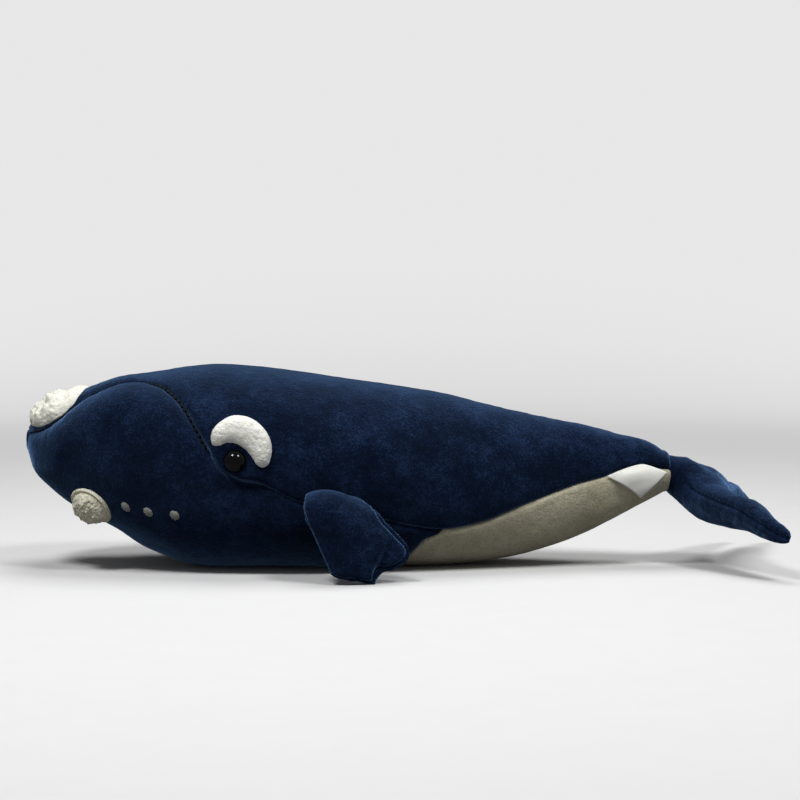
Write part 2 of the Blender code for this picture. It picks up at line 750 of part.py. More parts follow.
def flank_place(origin, side):
    """Place points by their run back and up over the flank from an origin."""
    def place(run, rise, height):
        station = (origin[0] + run - SNOUT_X) / TRUNK_LENGTH
        ring = ring_at(round(float(station), 6))
        heights = ring.points[:, 2]
        share = (origin[2] + rise - heights[0]) / (heights[-1] - heights[0])
        return ring.place(side * ring.walk_at_height(share), -height)

    return place


def brow_patch(name, side, material):
    """The crescent over the eye."""
    eye_point, _ = surface_frame(EYE_STATION_SHARE, EYE_HEIGHT_SHARE, side)
    outline = [(EYE_DIAMETER * run, EYE_DIAMETER * rise) for run, rise in BROW_OUTLINE_SHARES]
    path = [(EYE_DIAMETER * run, EYE_DIAMETER * rise) for run, rise in BROW_SPINE_SHARES]
    spine = [nearest_on_path(point, path)[0] for point in outline]
    crowns = [BROW_CROWN] * len(outline)
    return patch(name, outline, spine, crowns, flank_place(eye_point, side), material)


def tangent_place(station, height_share, side):
    """Place points by their walk back and up from one point of the surface."""
    start = ring_at(station)
    start_walk = start.walk_at_height(height_share)
    _, normal = start.frame(side * start_walk)
    lean = math.sqrt(max(1 - normal[0] ** 2, 0.0))

    def place(run, rise, height):
        ring = ring_at(round(station + run * lean / TRUNK_LENGTH, 6))
        walk = ring.walk_at_height(height_share) + rise
        return ring.place(side * walk, -height)

    return place


def chin_patch(name, side, material):
    """The round patch low on the front of the jaw."""
    turns = [2 * math.pi * k / CHIN_POINTS for k in range(CHIN_POINTS)]
    radius = CHIN_DIAMETER / 2
    outline = [(radius * math.cos(turn), radius * math.sin(turn)) for turn in turns]
    spine = [(0.0, 0.0)] * CHIN_POINTS
    place = tangent_place(CHIN_STATION_SHARE, CHIN_HEIGHT_SHARE, side)
    return patch(name, outline, spine, [CHIN_CROWN] * CHIN_POINTS, place, material)


def surface_height(panel_object, point, normal, radius):
    """How high a panel's facets stand around a point, along the normal."""
    tree = BVHTree.FromObject(panel_object, bpy.context.evaluated_depsgraph_get())
    up = Vector(normal)
    side = up.orthogonal().normalized()
    other = up.cross(side)
    heights = []
    for k in range(SPOT_STEPS):
        turn = 2 * math.pi * k / SPOT_STEPS
        spoke = (side * math.cos(turn) + other * math.sin(turn)) * radius
        start = Vector(point) + spoke + up * radius
        hit = tree.ray_cast(start, -up)[0]
        heights.append((hit - Vector(point)).dot(up))
    return max(heights)


def jaw_spot(name, station, height_share, side, panel_object, material):
    """A spot of satin stitch, seated on the facets of the jaw panel."""
    point, normal = surface_frame(station, height_share, side)
    radius = SPOT_DIAMETER / 2
    point = point + normal * surface_height(panel_object, point, normal, radius)
    profile = [
        (0.0, SEAT_GAP), (radius, SEAT_GAP),
        *((radius * out, SEAT_GAP + SPOT_HEIGHT * up) for out, up in SPOT_PROFILE_SHARES),
        (0.0, SEAT_GAP + SPOT_HEIGHT),
    ]
    return turned_solid(name, profile, SPOT_STEPS, point, normal, material)


def mouth_thread(name, side, material):
    """The heavy thread laid along the rear of the mouth line."""
    first, last = MOUTH_THREAD_STATION_SHARES
    lift = MOUTH_THREAD_DIAMETER / 2 + MOUTH_THREAD_LIFT
    curve = bpy.data.curves.new(name, "CURVE")
    curve.dimensions = "3D"
    spline = curve.splines.new("POLY")
    spline.points.add(MOUTH_THREAD_POINTS - 1)
    for k in range(MOUTH_THREAD_POINTS):
        station = first + (last - first) * k / (MOUTH_THREAD_POINTS - 1)
        ring = ring_at(station)
        spline.points[k].co = (*ring.place(side * ring.seam, -lift + SEAM_DIP), 1.0)
    curve.bevel_depth = MOUTH_THREAD_DIAMETER / 2
    curve.bevel_resolution = 1
    curve.use_fill_caps = True
    curve.materials.append(material)
    thing = bpy.data.objects.new(name, curve)
    bpy.context.scene.collection.objects.link(thing)
    return thing


# Stuffed limbs

class Limb:
    """A stuffed flat limb: its outline, its spine and how it lies in space."""

    def __init__(self, outline, spine, spans, fullness, powers, levels, place):
        self.outline = [np.array(point) for point in outline]
        self.spine = [np.array(point) for point in spine]
        self.heights = [fullness / 2 * span for span in spans]
        self.powers = powers
        self.levels = levels
        self.place = place
        self.fullest = max(self.heights)

    def skin_rows(self, mesh, inset, sign, lift):
        """Rows over one face, with the outline and the height drawn in by an inset."""
        outline = []
        heights = []
        for edge, core, height in zip(self.outline, self.spine, self.heights):
            reach = float(np.linalg.norm(edge - core))
            kept = 1 - min(inset / reach, LIMB_BRIM_SHARE)
            outline.append(tuple(core + (edge - core) * kept))
            heights.append(height * (1 - inset / self.fullest))

        def place(a, b, height):
            return self.place(a, b, sign * (lift + height))

        spine = [tuple(core) for core in self.spine]
        return pillow(mesh, outline, spine, heights, self.powers, self.levels, place)

    def fabric(self, name, sign, material):
        """One face of plush, open at its rim where it is sewn to the other face."""
        mesh = bmesh.new()
        outer = self.skin_rows(mesh, 0.0, sign, SEAM_GAP / 2)
        inner = self.skin_rows(mesh, PLUSH_THICKNESS, sign, SEAM_GAP / 2)
        bridge_rows(mesh, [outer[0], inner[0]], closed=True)
        weld(mesh)
        return finish_object(name, mesh, material)

    def filling(self, name, material):
        mesh = bmesh.new()
        inset = PLUSH_THICKNESS + FILLING_CLEARANCE
        self.skin_rows(mesh, inset, 1.0, 0.0)
        self.skin_rows(mesh, inset, -1.0, 0.0)
        weld(mesh)
        return finish_object(name, mesh, material)


def flipper_hinge(side):
    """The flipper's seam in the flank: its middle, its direction, out and down.

    The flipper swings about the line FLIPPER_HINGE_RISE above the middle.
    """
    ends = [surface_frame(station, share, side)[0] for station, share in FLIPPER_ROOT_SHARES]
    normals = [surface_frame(station, share, side)[1] for station, share in FLIPPER_ROOT_SHARES]
    along = ends[1] - ends[0]
    along /= np.linalg.norm(along)
    out = normals[0] + normals[1]
    out[2] = 0.0
    out -= along * np.dot(out, along)
    out /= np.linalg.norm(out)
    down = np.cross(out, along)
    down *= -math.copysign(1.0, down[2])
    middle = (ends[0] + ends[1]) / 2 + out * (SEAT_GAP + FLIPPER_ROOT_LIFT)
    return middle, along, out, down


def flipper(side_name, side, plush, filling):
    middle, along, out, down = flipper_hinge(side)
    walked, outs, downs = zip(*FLIPPER_PATH_SHARES)
    out_at = smooth_through(walked, outs)
    down_at = smooth_through(walked, downs)

    def path_point(share):
        return np.array([out_at(share), down_at(share)])

    def place(across, length, height):
        share = length / FLIPPER_LENGTH
        spot = path_point(share) * FLIPPER_LENGTH
        near = max(share - FLIPPER_PROBE_SHARE, 0.0)
        far = min(share + FLIPPER_PROBE_SHARE, 1.0)
        ahead = path_point(far) - path_point(near)
        ahead /= np.linalg.norm(ahead)
        face = out * ahead[1] - down * ahead[0]
        return middle + along * across + out * spot[0] + down * spot[1] + face * height

    outline = [(FLIPPER_ROOT_LENGTH * a, FLIPPER_LENGTH * b) for a, b in FLIPPER_OUTLINE_SHARES]
    path = [(FLIPPER_ROOT_LENGTH * a, FLIPPER_LENGTH * b) for a, b in FLIPPER_SPINE_SHARES]
    nearest = [nearest_on_path(point, path) for point in outline]
    spine = [spot for spot, part in nearest]
    knots = np.linspace(0, 1, len(FLIPPER_FULLNESS_SHARES))
    spans = [float(np.interp(part, knots, FLIPPER_FULLNESS_SHARES)) for spot, part in nearest]
    powers = [ROOT_POWER if b == 0.0 else SEWN_EDGE_POWER for a, b in FLIPPER_OUTLINE_SHARES]
    limb = Limb(outline, spine, spans, FLIPPER_FULLNESS, powers, FLIPPER_LEVELS, place)
    hinge = middle - down * FLIPPER_HINGE_RISE
    put_origin(limb.fabric(f"flipper_{side_name}_upper", 1.0, plush), hinge)
    put_origin(limb.fabric(f"flipper_{side_name}_lower", -1.0, plush), hinge)
    put_origin(limb.filling(f"flipper_{side_name}_filling", filling), hinge)


def flukes(plush, filling):
    bead = tail_bead()
    slope = math.radians(FLUKE_SLOPE_DEGREES)
    back = np.array([math.cos(slope), 0.0, -math.sin(slope)])
    up = np.array([math.sin(slope), 0.0, math.cos(slope)])
    half_span = FLUKE_SPAN / 2
    origin = np.array([bead["x"], 0.0, bead["z"]])

    def place(length, across, height):
        droop = FLUKE_DROOP * math.sin(math.pi / 2 * abs(across) / half_span)
        return origin + back * length + up * (height - droop) + np.array([0.0, across, 0.0])

    turns = np.linspace(math.pi, math.pi / 2, BEAD_STEPS // 2 + 1)
    front = [(bead["radius"] * math.cos(turn), bead["half_width"] * math.sin(turn)) for turn in turns]
    lobe = [(FLUKE_LENGTH * a, half_span * b) for a, b in FLUKE_OUTLINE_SHARES]
    right = front + lobe
    left = [(a, -b) for a, b in reversed(right[1:])]
    outline = right + [(FLUKE_LENGTH * FLUKE_NOTCH_SHARE, 0.0)] + left
    path = [(FLUKE_LENGTH * a, half_span * b) for a, b in FLUKE_SPINE_SHARES]
    spine = []
    spans = []
    fullness = (2 * bead["radius"] / FLUKE_FULLNESS, *FLUKE_FULLNESS_SHARES)
    knots = np.linspace(0, 1, len(fullness))
    for a, b in outline:
        spot, part = nearest_on_path((a, abs(b)), path)
        if abs(b) == 0.0:
            spot = (spot[0], 0.0)
        spine.append((spot[0], math.copysign(spot[1], b)))
        spans.append(float(np.interp(part, knots, fullness)))
    powers = [ROUND_POWER if a <= 0 else SEWN_EDGE_POWER for a, b in outline]
    limb = Limb(outline, spine, spans, FLUKE_FULLNESS, powers, FLUKE_LEVELS, place)
    put_origin(limb.fabric("flukes_upper", 1.0, plush), origin)
    put_origin(limb.fabric("flukes_lower", -1.0, plush), origin)
    put_origin(limb.filling("flukes_filling", filling), origin)


# Label

def label_point(along, across):
    """Station and drop at shares along the sewn edge and across to the fold."""
    first, last, far_last, far_first = (np.array(corner) for corner in LABEL_CORNER_SHARES)
    sewn = first + (last - first) * along
    fold = far_first + (far_last - far_first) * along
    return sewn + (fold - sewn) * across


def care_label(name, side, material):
    """A folded tape whose two raw ends are caught in the side seam. It carries no print."""
    outer_rows = []
    inner_rows = []
    for along in np.linspace(0, 1, LABEL_ROWS):
        outer = []
        inner = []
        for across in np.linspace(0, 1, LABEL_COLUMNS):
            station, drop = label_point(along, across)
            ring = ring_at(float(station))
            walk = side * (ring.seam - drop * LABEL_DROP)
            lift = LABEL_SEAT_GAP + LABEL_STAND_OFF * across
            inner.append(ring.place(walk, -lift))
            outer.append(ring.place(walk, -lift - 2 * LABEL_TAPE))
        outer_rows.append(outer)
        inner_rows.append(inner)
    label = finish_object(name, shell_mesh(outer_rows, inner_rows), material, smooth=False)
    put_origin(label, inner_rows[LABEL_ROWS // 2][0])
    return label


def build():
    clear_objects()
    navy = make_material("navy_plush", NAVY, 0.95)
    navy_jaw = make_material("navy_plush_jaw", NAVY_PALE, 0.95)
    cream = make_material("cream_plush", CREAM, 0.95)
    white = make_material("white_pile", WHITE_PILE, 0.95)
    fibre = make_material("polyester_fibre", FIBRE, 0.9)
    black = make_material("black_plastic", BLACK, 0.12)
    clear = make_material("clear_plastic", CLEAR_PLASTIC, 0.4)
    dark_thread = make_material("dark_thread", THREAD_DARK, 0.7)
    pale_thread = make_material("pale_thread", THREAD_PALE, 0.7)
    satin = make_material("satin_tape", SATIN, 0.45)

    filling = trunk_filling("trunk_filling", fibre)
    belly_panel("belly_panel", cream)
    rostrum_patch("rostrum_patch", white)
    for side_name, side in (("left", -1), ("right", 1)):
        back = back_panel(f"back_panel_{side_name}", side, navy)
        jaw = jaw_panel(f"jaw_panel_{side_name}", side, navy_jaw)
        eye(side_name, side, back, filling, black, clear)
        brow_patch(f"brow_patch_{side_name}", side, white)
        chin_patch(f"chin_patch_{side_name}", side, white)
        mouth_thread(f"mouth_thread_{side_name}", side, dark_thread)
        for number, (station, share) in enumerate(SPOT_PLACE_SHARES, start=1):
            jaw_spot(f"jaw_spot_{side_name}_{number}", station, share, side, jaw, pale_thread)
        flipper(side_name, side, navy, fibre)
    flukes(navy, fibre)
    care_label("care_label", -1, satin)


build()
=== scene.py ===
"""Looks of the stuffed plush whale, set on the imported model's frame.

The snout points to -X and the tail to +X. The whale's left side is at -Y and faces
the camera. Lengths are in metres. A station is a share of the trunk's length, from
the snout, and a walk is the way round a section from the bottom centre, below zero
on the whale's left.
"""
import math

import bmesh
import bpy
import numpy as np
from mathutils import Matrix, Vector, noise
from mathutils.kdtree import KDTree


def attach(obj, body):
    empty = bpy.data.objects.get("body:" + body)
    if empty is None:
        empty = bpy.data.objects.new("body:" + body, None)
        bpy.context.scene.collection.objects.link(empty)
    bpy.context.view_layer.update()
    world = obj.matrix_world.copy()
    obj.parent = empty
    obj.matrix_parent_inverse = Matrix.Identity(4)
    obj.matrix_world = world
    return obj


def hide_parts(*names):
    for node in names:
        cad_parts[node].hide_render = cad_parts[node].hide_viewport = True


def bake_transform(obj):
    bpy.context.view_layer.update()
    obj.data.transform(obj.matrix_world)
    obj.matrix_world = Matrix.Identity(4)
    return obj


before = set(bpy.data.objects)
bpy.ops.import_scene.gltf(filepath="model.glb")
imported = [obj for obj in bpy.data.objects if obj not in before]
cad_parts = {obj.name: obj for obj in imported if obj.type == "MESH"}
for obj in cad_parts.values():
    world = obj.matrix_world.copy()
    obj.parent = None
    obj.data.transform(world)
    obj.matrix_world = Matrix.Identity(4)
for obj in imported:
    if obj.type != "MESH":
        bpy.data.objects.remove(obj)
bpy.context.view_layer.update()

# Trunk, as in the solids
TRUNK_LENGTH = 0.341
TRUNK_HEIGHT = 0.107
TRUNK_WIDTH = 0.105
FLUKE_REACH = 0.0555
SNOUT_X = -(TRUNK_LENGTH + FLUKE_REACH) / 2
FLOOR_CUT = 0.0005
SNOUT_TURN = 0.8 * math.pi
# Station, shares of the height for top and bottom, and share of the width for the half
TRUNK_SECTIONS = (
    (0.0, 0.649, 0.649, 0.0), (0.0127, 0.705, 0.515, 0.133), (0.0316, 0.750, 0.421, 0.205),
    (0.0552, 0.805, 0.350, 0.267), (0.0976, 0.878, 0.262, 0.333), (0.150, 0.939, 0.187, 0.390),
    (0.207, 0.965, 0.087, 0.433), (0.263, 0.990, 0.017, 0.467), (0.302, 1.0, 0.0, 0.486),
    (0.358, 0.990, 0.0, 0.5), (0.434, 0.960, 0.0, 0.5), (0.510, 0.924, 0.0, 0.476),
    (0.586, 0.890, 0.0, 0.433), (0.661, 0.850, 0.005, 0.371), (0.737, 0.790, 0.029, 0.305),
    (0.813, 0.738, 0.085, 0.238), (0.889, 0.690, 0.178, 0.176), (0.945, 0.636, 0.272, 0.140),
    (1.0, 0.565, 0.369, 0.119),
)
SECTION_MIDDLE_SHARE = 0.47
UPPER_POWERS = ((0.0, 0.82), (0.25, 0.82), (0.75, 0.95), (1.0, 0.95))
LOWER_POWERS = ((0.0, 0.80), (0.5, 0.80), (0.9, 0.95), (1.0, 0.95))
# Station and share of the section's height
SIDE_SEAM = (
    (0.0, 0.90), (0.012, 0.835), (0.040, 0.820), (0.060, 0.856), (0.076, 0.901),
    (0.092, 0.932), (0.130, 0.962), (0.162, 0.975), (0.187, 0.973), (0.207, 0.956),
    (0.224, 0.930), (0.238, 0.897), (0.252, 0.853), (0.267, 0.787), (0.282, 0.705),
    (0.297, 0.625), (0.315, 0.540), (0.340, 0.480), (0.385, 0.450), (0.437, 0.378),
    (0.498, 0.336), (0.564, 0.299), (0.607, 0.264), (0.656, 0.243), (0.710, 0.277),
    (0.780, 0.380), (0.857, 0.485), (0.908, 0.535), (0.935, 0.590), (0.962, 0.640), (1.0, 0.615),
)
# Station and share of the walk up to the side seam
BELLY_EDGE = ((0.5835, 0.0), (0.588, 0.33), (0.607, 0.65), (0.626, 0.85), (0.649, 0.95), (0.656, 1.0))
CHEST_END = BELLY_EDGE[0][0]
BELLY_FULL = BELLY_EDGE[-1][0]
BELLY_START = 0.5853
JAW_END = 0.649
NOSE_END = 0.0050
BACK_START = 0.0078
NOSE_STATIONS = (0.0, 0.0012, 0.0025, 0.0038)
LIP_STATIONS = (0.0062, BACK_START)
SIDES = (("left", -1), ("right", 1))

# The mouth's valley and the cheek under it
MOUTH_FADE = ((0.0, 0.0), (0.03, 0.7), (0.10, 1.0), (0.25, 1.0), (0.33, 0.0), (1.0, 0.0))
MOUTH_DEPTH = 0.0011
MOUTH_WIDTH = 0.0045
CHEEK_HEIGHT = 0.0022
CHEEK_DROP = 0.0190
CHEEK_WIDTH = 0.0120

# Tables of the surface
SECTION_POINTS = 241
TABLE_ROWS = 420
TABLE_HALF = 120
BALLOON_ROWS = 92
BALLOON_HALF = 22
PROBE = 0.0004
FLAT_SHARE = 0.0004
SEAM_STEP = 0.002
BELLY_STEP = 0.001
LOWEST_SKIN = 0.0004
LOWEST_PILE = 0.0003
FORWARD = np.array([-1.0, 0.0, 0.0])
TINY = 1e-12


# Smooth functions

def ease(station):
    """Even steps of the result lie close together at the snout and at the tail."""
    return np.arccos(1 - (1 - math.cos(SNOUT_TURN)) * np.clip(station, 0, 1)) / SNOUT_TURN


def station_at(eased):
    return (1 - np.cos(SNOUT_TURN * eased)) / (1 - math.cos(SNOUT_TURN))


def smooth_through(knots, values):
    """A smooth function of one number through the given values."""
    knots = np.array(knots, float)
    values = np.array(values, float)
    steps = np.diff(knots)
    rises = np.diff(values) / steps
    slopes = np.empty_like(values)
    slopes[0] = rises[0]
    slopes[-1] = rises[-1]
    slopes[1:-1] = (rises[:-1] * steps[1:] + rises[1:] * steps[:-1]) / (steps[1:] + steps[:-1])

    def value_at(where):
        place = np.clip(where, knots[0], knots[-1])
        left = np.clip(np.searchsorted(knots, place) - 1, 0, len(steps) - 1)
        step = steps[left]
        part = (place - knots[left]) / step
        near = values[left] * (2 * part**3 - 3 * part**2 + 1)
        far = values[left + 1] * (3 * part**2 - 2 * part**3)
        leave = slopes[left] * step * (part**3 - 2 * part**2 + part)
        arrive = slopes[left + 1] * step * (part**3 - part**2)
        return near + far + leave + arrive

    return value_at


def along_trunk(stations, values):
    value_at = smooth_through(ease(np.array(stations)), values)
    return lambda station: value_at(ease(station))


def table_value(table, where):
    places, values = zip(*table)
    return np.interp(where, places, values)


def hill(value, width, centre=0.0):
    """1 at the centre, falling off smoothly on both sides."""
    return np.exp(-(((value - centre) / width) ** 2))


def ramp(value, start, run):
    """0 up to the start, then rising to 1 over the run."""
    return np.clip((value - start) / run, 0, 1)


def dome(shares):
    """The height of a round dome of radius 1 at shares of that radius."""
    return np.sqrt(np.clip(1 - shares**2, 0, 1))


def full_turn(count):
    return np.linspace(0, 2 * math.pi, count, endpoint=False)


def unit(vectors):
    return vectors / np.maximum(np.linalg.norm(vectors, axis=-1, keepdims=True), TINY)


def travelled(points):
    """How far along a path each of its points lies."""
    return np.concatenate([[0.0], np.cumsum(np.linalg.norm(np.diff(points, axis=0), axis=1))])


# Surface of the trunk

STATIONS, TOPS, BOTTOMS, HALVES = zip(*TRUNK_SECTIONS)
top_share = along_trunk(STATIONS, TOPS)
bottom_share = along_trunk(STATIONS, BOTTOMS)
half_share = along_trunk(STATIONS, HALVES)
seam_share = along_trunk(*zip(*SIDE_SEAM))


def section_points(station, angle):
    """Points of the bare section: angle 0 at the bottom centre, pi at the top centre."""
    top = TRUNK_HEIGHT * top_share(station)
    bottom = TRUNK_HEIGHT * bottom_share(station) - FLOOR_CUT
    half = TRUNK_WIDTH * max(float(half_share(station)), 0.0)
    middle = bottom + SECTION_MIDDLE_SHARE * (top - bottom)
    down = np.cos(angle)
    out = np.sin(angle)
    power = np.where(down > 0, table_value(LOWER_POWERS, station), table_value(UPPER_POWERS, station))
    reach = np.where(down > 0, bottom - middle, top - middle)
    y = half * np.sign(out) * np.abs(out) ** power
    z = middle + reach * np.abs(down) ** power
    return np.stack([np.full_like(y, SNOUT_X + TRUNK_LENGTH * station), y, z], axis=-1)


def section_normals(station, angle):
    if station <= 0:
        return np.tile(FORWARD, (len(angle), 1))
    ahead = section_points(min(station + PROBE, 1.0), angle)
    behind = section_points(max(station - PROBE, 0.0), angle)
    around = section_points(station, angle + PROBE) - section_points(station, angle - PROBE)
    normals = np.cross(around, ahead - behind)
    size = np.linalg.norm(normals, axis=-1, keepdims=True)
    return np.where(size < np.max(size) * FLAT_SHARE, FORWARD, unit(normals))


def column_walk(column, seam, length):
    """The walk at a column: 0 at the bottom centre, 1 at the side seam, 2 at the top centre."""
    return np.where(column <= 1, column * seam, seam + (column - 1) * (length - seam))


def sides_of(station, walk):
    """Stations and walks as arrays of one shape, and the side that each is on."""
    station, walk = np.broadcast_arrays(np.asarray(station, float), np.asarray(walk, float))
    return station, walk, np.where(walk < 0, -1.0, 1.0)


class Trunk:
    """The surface of the trunk as a table: rows along it, columns from belly to back.

    Columns 0 to TABLE_HALF run up to the side seam, and the rest on to the top centre.
    The offsets carry the bare surface on to the stuffed one.
    """

    def __init__(self):
        self.eased = np.linspace(0, 1, TABLE_ROWS)
        columns = 2 * TABLE_HALF + 1
        self.points = np.empty((TABLE_ROWS, columns, 3))
        self.normals = np.empty((TABLE_ROWS, columns, 3))
        self.seams = np.empty(TABLE_ROWS)
        self.lengths = np.empty(TABLE_ROWS)
        self.offsets = None
        angle = np.linspace(0, math.pi, SECTION_POINTS)
        for k, station in enumerate(station_at(self.eased)):
            points = section_points(station, angle)
            normals = section_normals(station, angle)
            walks = travelled(points)
            heights = points[:, 2]
            wanted = heights[0] + float(seam_share(station)) * (heights[-1] - heights[0])
            seam = float(np.interp(wanted, heights, walks))
            self.seams[k] = seam
            self.lengths[k] = walks[-1]
            at = column_walk(np.linspace(0, 2, columns), seam, walks[-1])
            for axis in range(3):
                self.points[k, :, axis] = np.interp(at, walks, points[:, axis])
                self.normals[k, :, axis] = np.interp(at, walks, normals[:, axis])
            away = at - seam
            cheek = CHEEK_HEIGHT * hill(away, CHEEK_WIDTH, centre=-CHEEK_DROP)
            lift = table_value(MOUTH_FADE, station) * (cheek - MOUTH_DEPTH * hill(away, MOUTH_WIDTH))
            self.points[k] += self.normals[k] * lift[:, None]
        self.normals = unit(self.normals)

    def seam(self, station):
        return np.interp(ease(station), self.eased, self.seams)

    def length(self, station):
        return np.interp(ease(station), self.eased, self.lengths)

    def column(self, station, walk):
        reach = np.abs(walk)
        seam = self.seam(station)
        under = reach / np.maximum(seam, TINY)
        over = 1 + (reach - seam) / np.maximum(self.length(station) - seam, TINY)
        return np.clip(np.where(reach <= seam, under, over), 0, 2)

    def walk_at_height(self, station, share):
        """The walk up to a share of the section's height."""
        heights = self.points[int(round(float(ease(station)) * (TABLE_ROWS - 1))), :, 2]
        wanted = heights[0] + share * (heights[-1] - heights[0])
        column = np.interp(wanted, heights, np.linspace(0, 2, len(heights)))
        return float(column_walk(column, self.seam(station), self.length(station)))

    @staticmethod
    def sample(table, row, column):
        rows, columns = table.shape[:2]
        row = np.clip(row, 0, rows - 1)
        column = np.clip(column, 0, columns - 1)
        r = np.minimum(row.astype(int), rows - 2)
        c = np.minimum(column.astype(int), columns - 2)
        row_part = (row - r)[..., None]
        column_part = (column - c)[..., None]
        near = table[r, c] * (1 - column_part) + table[r, c + 1] * column_part
        far = table[r + 1, c] * (1 - column_part) + table[r + 1, c + 1] * column_part
        return near * (1 - row_part) + far * row_part

    def bare(self, station, walk):
        """Points and normals of the solid's surface."""
        station, walk, side = sides_of(station, walk)
        row = ease(station) * (TABLE_ROWS - 1)
        column = self.column(station, walk) * TABLE_HALF
        points = self.sample(self.points, row, column)
        normals = self.sample(self.normals, row, column)
        points[..., 1] *= side
        normals[..., 1] *= side
        return points, unit(normals)

    def skin(self, station, walk):
        """Points of the stuffed surface, and the normals there."""
        points, normals = self.bare(station, walk)
        station, walk, side = sides_of(station, walk)
        across = (self.column(station, walk) * side + 2) * BALLOON_HALF
        points = points + self.sample(self.offsets, ease(station) * (BALLOON_ROWS - 1), across)
        points[..., 2] = np.maximum(points[..., 2], LOWEST_SKIN)
        return points, normals


trunk = Trunk()


def belly_edge(station):
    return trunk.seam(station) * table_value(BELLY_EDGE, station)


def slant(edge, station, step):
    """How much longer a step up the section is than a step square to an edge."""
    low = np.maximum(station - step, 0)
    high = np.minimum(station + step, 1)
    return float(np.hypot(1.0, (edge(high) - edge(low)) / ((high - low) * TRUNK_LENGTH)))


def seam_slant(station):
    return slant(trunk.seam, station, SEAM_STEP)


def belly_slant(station):
    return slant(belly_edge, station, BELLY_STEP)


# Mesh helpers

def make_object(name, mesh_builder, material):
    bmesh.ops.recalc_face_normals(mesh_builder, faces=mesh_builder.faces)
    mesh = bpy.data.meshes.new(name)
    mesh_builder.to_mesh(mesh)
    mesh_builder.free()
    mesh.shade_smooth()
    thing = bpy.data.objects.new(name, mesh)
    mesh.materials.append(material)
    bpy.context.scene.collection.objects.link(thing)
    return thing


def add_grid(mesh, rows, closed=True):
    """Join each row of points to the next by quads. Closed rows run round."""
    corners = [[mesh.verts.new(point) for point in row] for row in rows]
    for first, second in zip(corners, corners[1:]):
        count = len(first)
        for k in range(count if closed else count - 1):
            after = (k + 1) % count
            mesh.faces.new((first[k], first[after], second[after], second[k]))
    return corners


def add_tube(mesh, rows):
    """Closed rows with a cap on both ends."""
    corners = add_grid(mesh, rows)
    mesh.faces.new(corners[0])
    mesh.faces.new(corners[-1])
    return mesh


def open_grid(rows):
    mesh = bmesh.new()
    add_grid(mesh, rows, closed=False)
    return mesh


def weld(mesh, distance=0.00002):
    bmesh.ops.remove_doubles(mesh, verts=mesh.verts, dist=distance)
    bmesh.ops.dissolve_degenerate(mesh, edges=mesh.edges, dist=distance)


def read_vectors(items, name):
    flat = np.empty(len(items) * 3, dtype=np.float32)
    items.foreach_get(name, flat)
    return flat.reshape(-1, 3).astype(float)


def positions_of(mesh):
    return read_vectors(mesh.vertices, "co")


def normals_of(mesh):
    return read_vectors(mesh.vertex_normals, "vector")


def set_positions(mesh, points):
    mesh.vertices.foreach_set("co", np.asarray(points, dtype=np.float32).ravel())
    mesh.update()


def bake(thing, modifier):
    """Replace a thing's mesh by what its one modifier makes of it."""
    shown = thing.evaluated_get(bpy.context.evaluated_depsgraph_get())
    mesh = bpy.data.meshes.new_from_object(shown)
    thing.modifiers.remove(modifier)
    thing.data = mesh


def stand_for(piece, nodes, body=None):
    """Hide the nodes that a piece replaces, and attach the piece to its body if one is given."""
    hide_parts(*nodes)
    if body:
        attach(piece, body)


noise.seed_set(4)


def bumps(points, size, octaves=2, seed=0.0):
    """Smooth noise from about -1 to 1 with features of a size."""
    shift = Vector((seed, seed * 0.7, -seed))
    return np.array([
        noise.fractal(Vector(point) / size + shift, 1.0, 2.0, octaves) for point in points.reshape(-1, 3)
    ]).reshape(points.shape[:-1])


def waves(points, rows):
    """The sum of rows of noise, each a height, a size, octaves and a seed."""
    return sum(height * bumps(points, size, octaves, seed) for height, size, octaves, seed in rows)


def curls(points, size, seed=0.0):
    """Rounded tufts of a size, from 0 in the clefts to 1 on top."""
    shift = Vector((seed, -seed, seed * 0.5))
    result = []
    for point in points.reshape(-1, 3):
        place = Vector(point) / size + shift
        place += noise.noise_vector(place * 0.9) * 0.35
        near = noise.voronoi(place)[0]
        result.append(min((near[1] - near[0]) * 1.6, 1.0))
    return np.sqrt(np.array(result)).reshape(points.shape[:-1])


def tufts(points, rows):
    """The sum of rows of curls, each a height, a size, a seed and the level that stays put."""
    return sum(height * (curls(points, size, seed) - level) for height, size, seed, level in rows)


# Cloth simulation

CLOTH_FRAMES = 20
CLOTH_SETTINGS = {
    "quality": 5, "mass": 0.25, "tension_stiffness": 12, "compression_stiffness": 12,
    "shear_stiffness": 5, "bending_stiffness": 0.3, "use_pressure": True, "pin_stiffness": 1.0,
}


def inflate(piece, held, pressure, growth, cap):
    """Blow a mesh up as cloth and return where its corners end, held ones staying put."""
    start = positions_of(piece.data)
    group = piece.vertex_groups.new(name="sewn")
    for index, weight in enumerate(held):
        if weight > 0:
            group.add([index], float(weight), "REPLACE")
    cloth = piece.modifiers.new("cloth", "CLOTH")
    for name, value in CLOTH_SETTINGS.items():
        setattr(cloth.settings, name, value)
    cloth.settings.uniform_pressure_force = pressure
    cloth.settings.vertex_group_mass = group.name
    cloth.settings.shrink_min = -growth
    cloth.settings.effector_weights.gravity = 0.0
    cloth.point_cache.frame_start = 1
    cloth.point_cache.frame_end = CLOTH_FRAMES
    for number in range(1, CLOTH_FRAMES + 1):
        bpy.context.scene.frame_set(number)
    blown = piece.evaluated_get(bpy.context.evaluated_depsgraph_get())
    move = positions_of(blown.data) - start
    piece.modifiers.remove(cloth)
    bpy.context.scene.frame_set(1)
    reach = np.linalg.norm(move, axis=1, keepdims=True)
    return start + move * np.minimum(1.0, cap / np.maximum(reach, TINY))


# Materials

def give(tree, node, name, value):
    """Set an input to a value, or link it to another node's output."""
    if isinstance(value, bpy.types.NodeSocket):
        tree.links.new(value, node.inputs[name])
    else:
        node.inputs[name].default_value = value


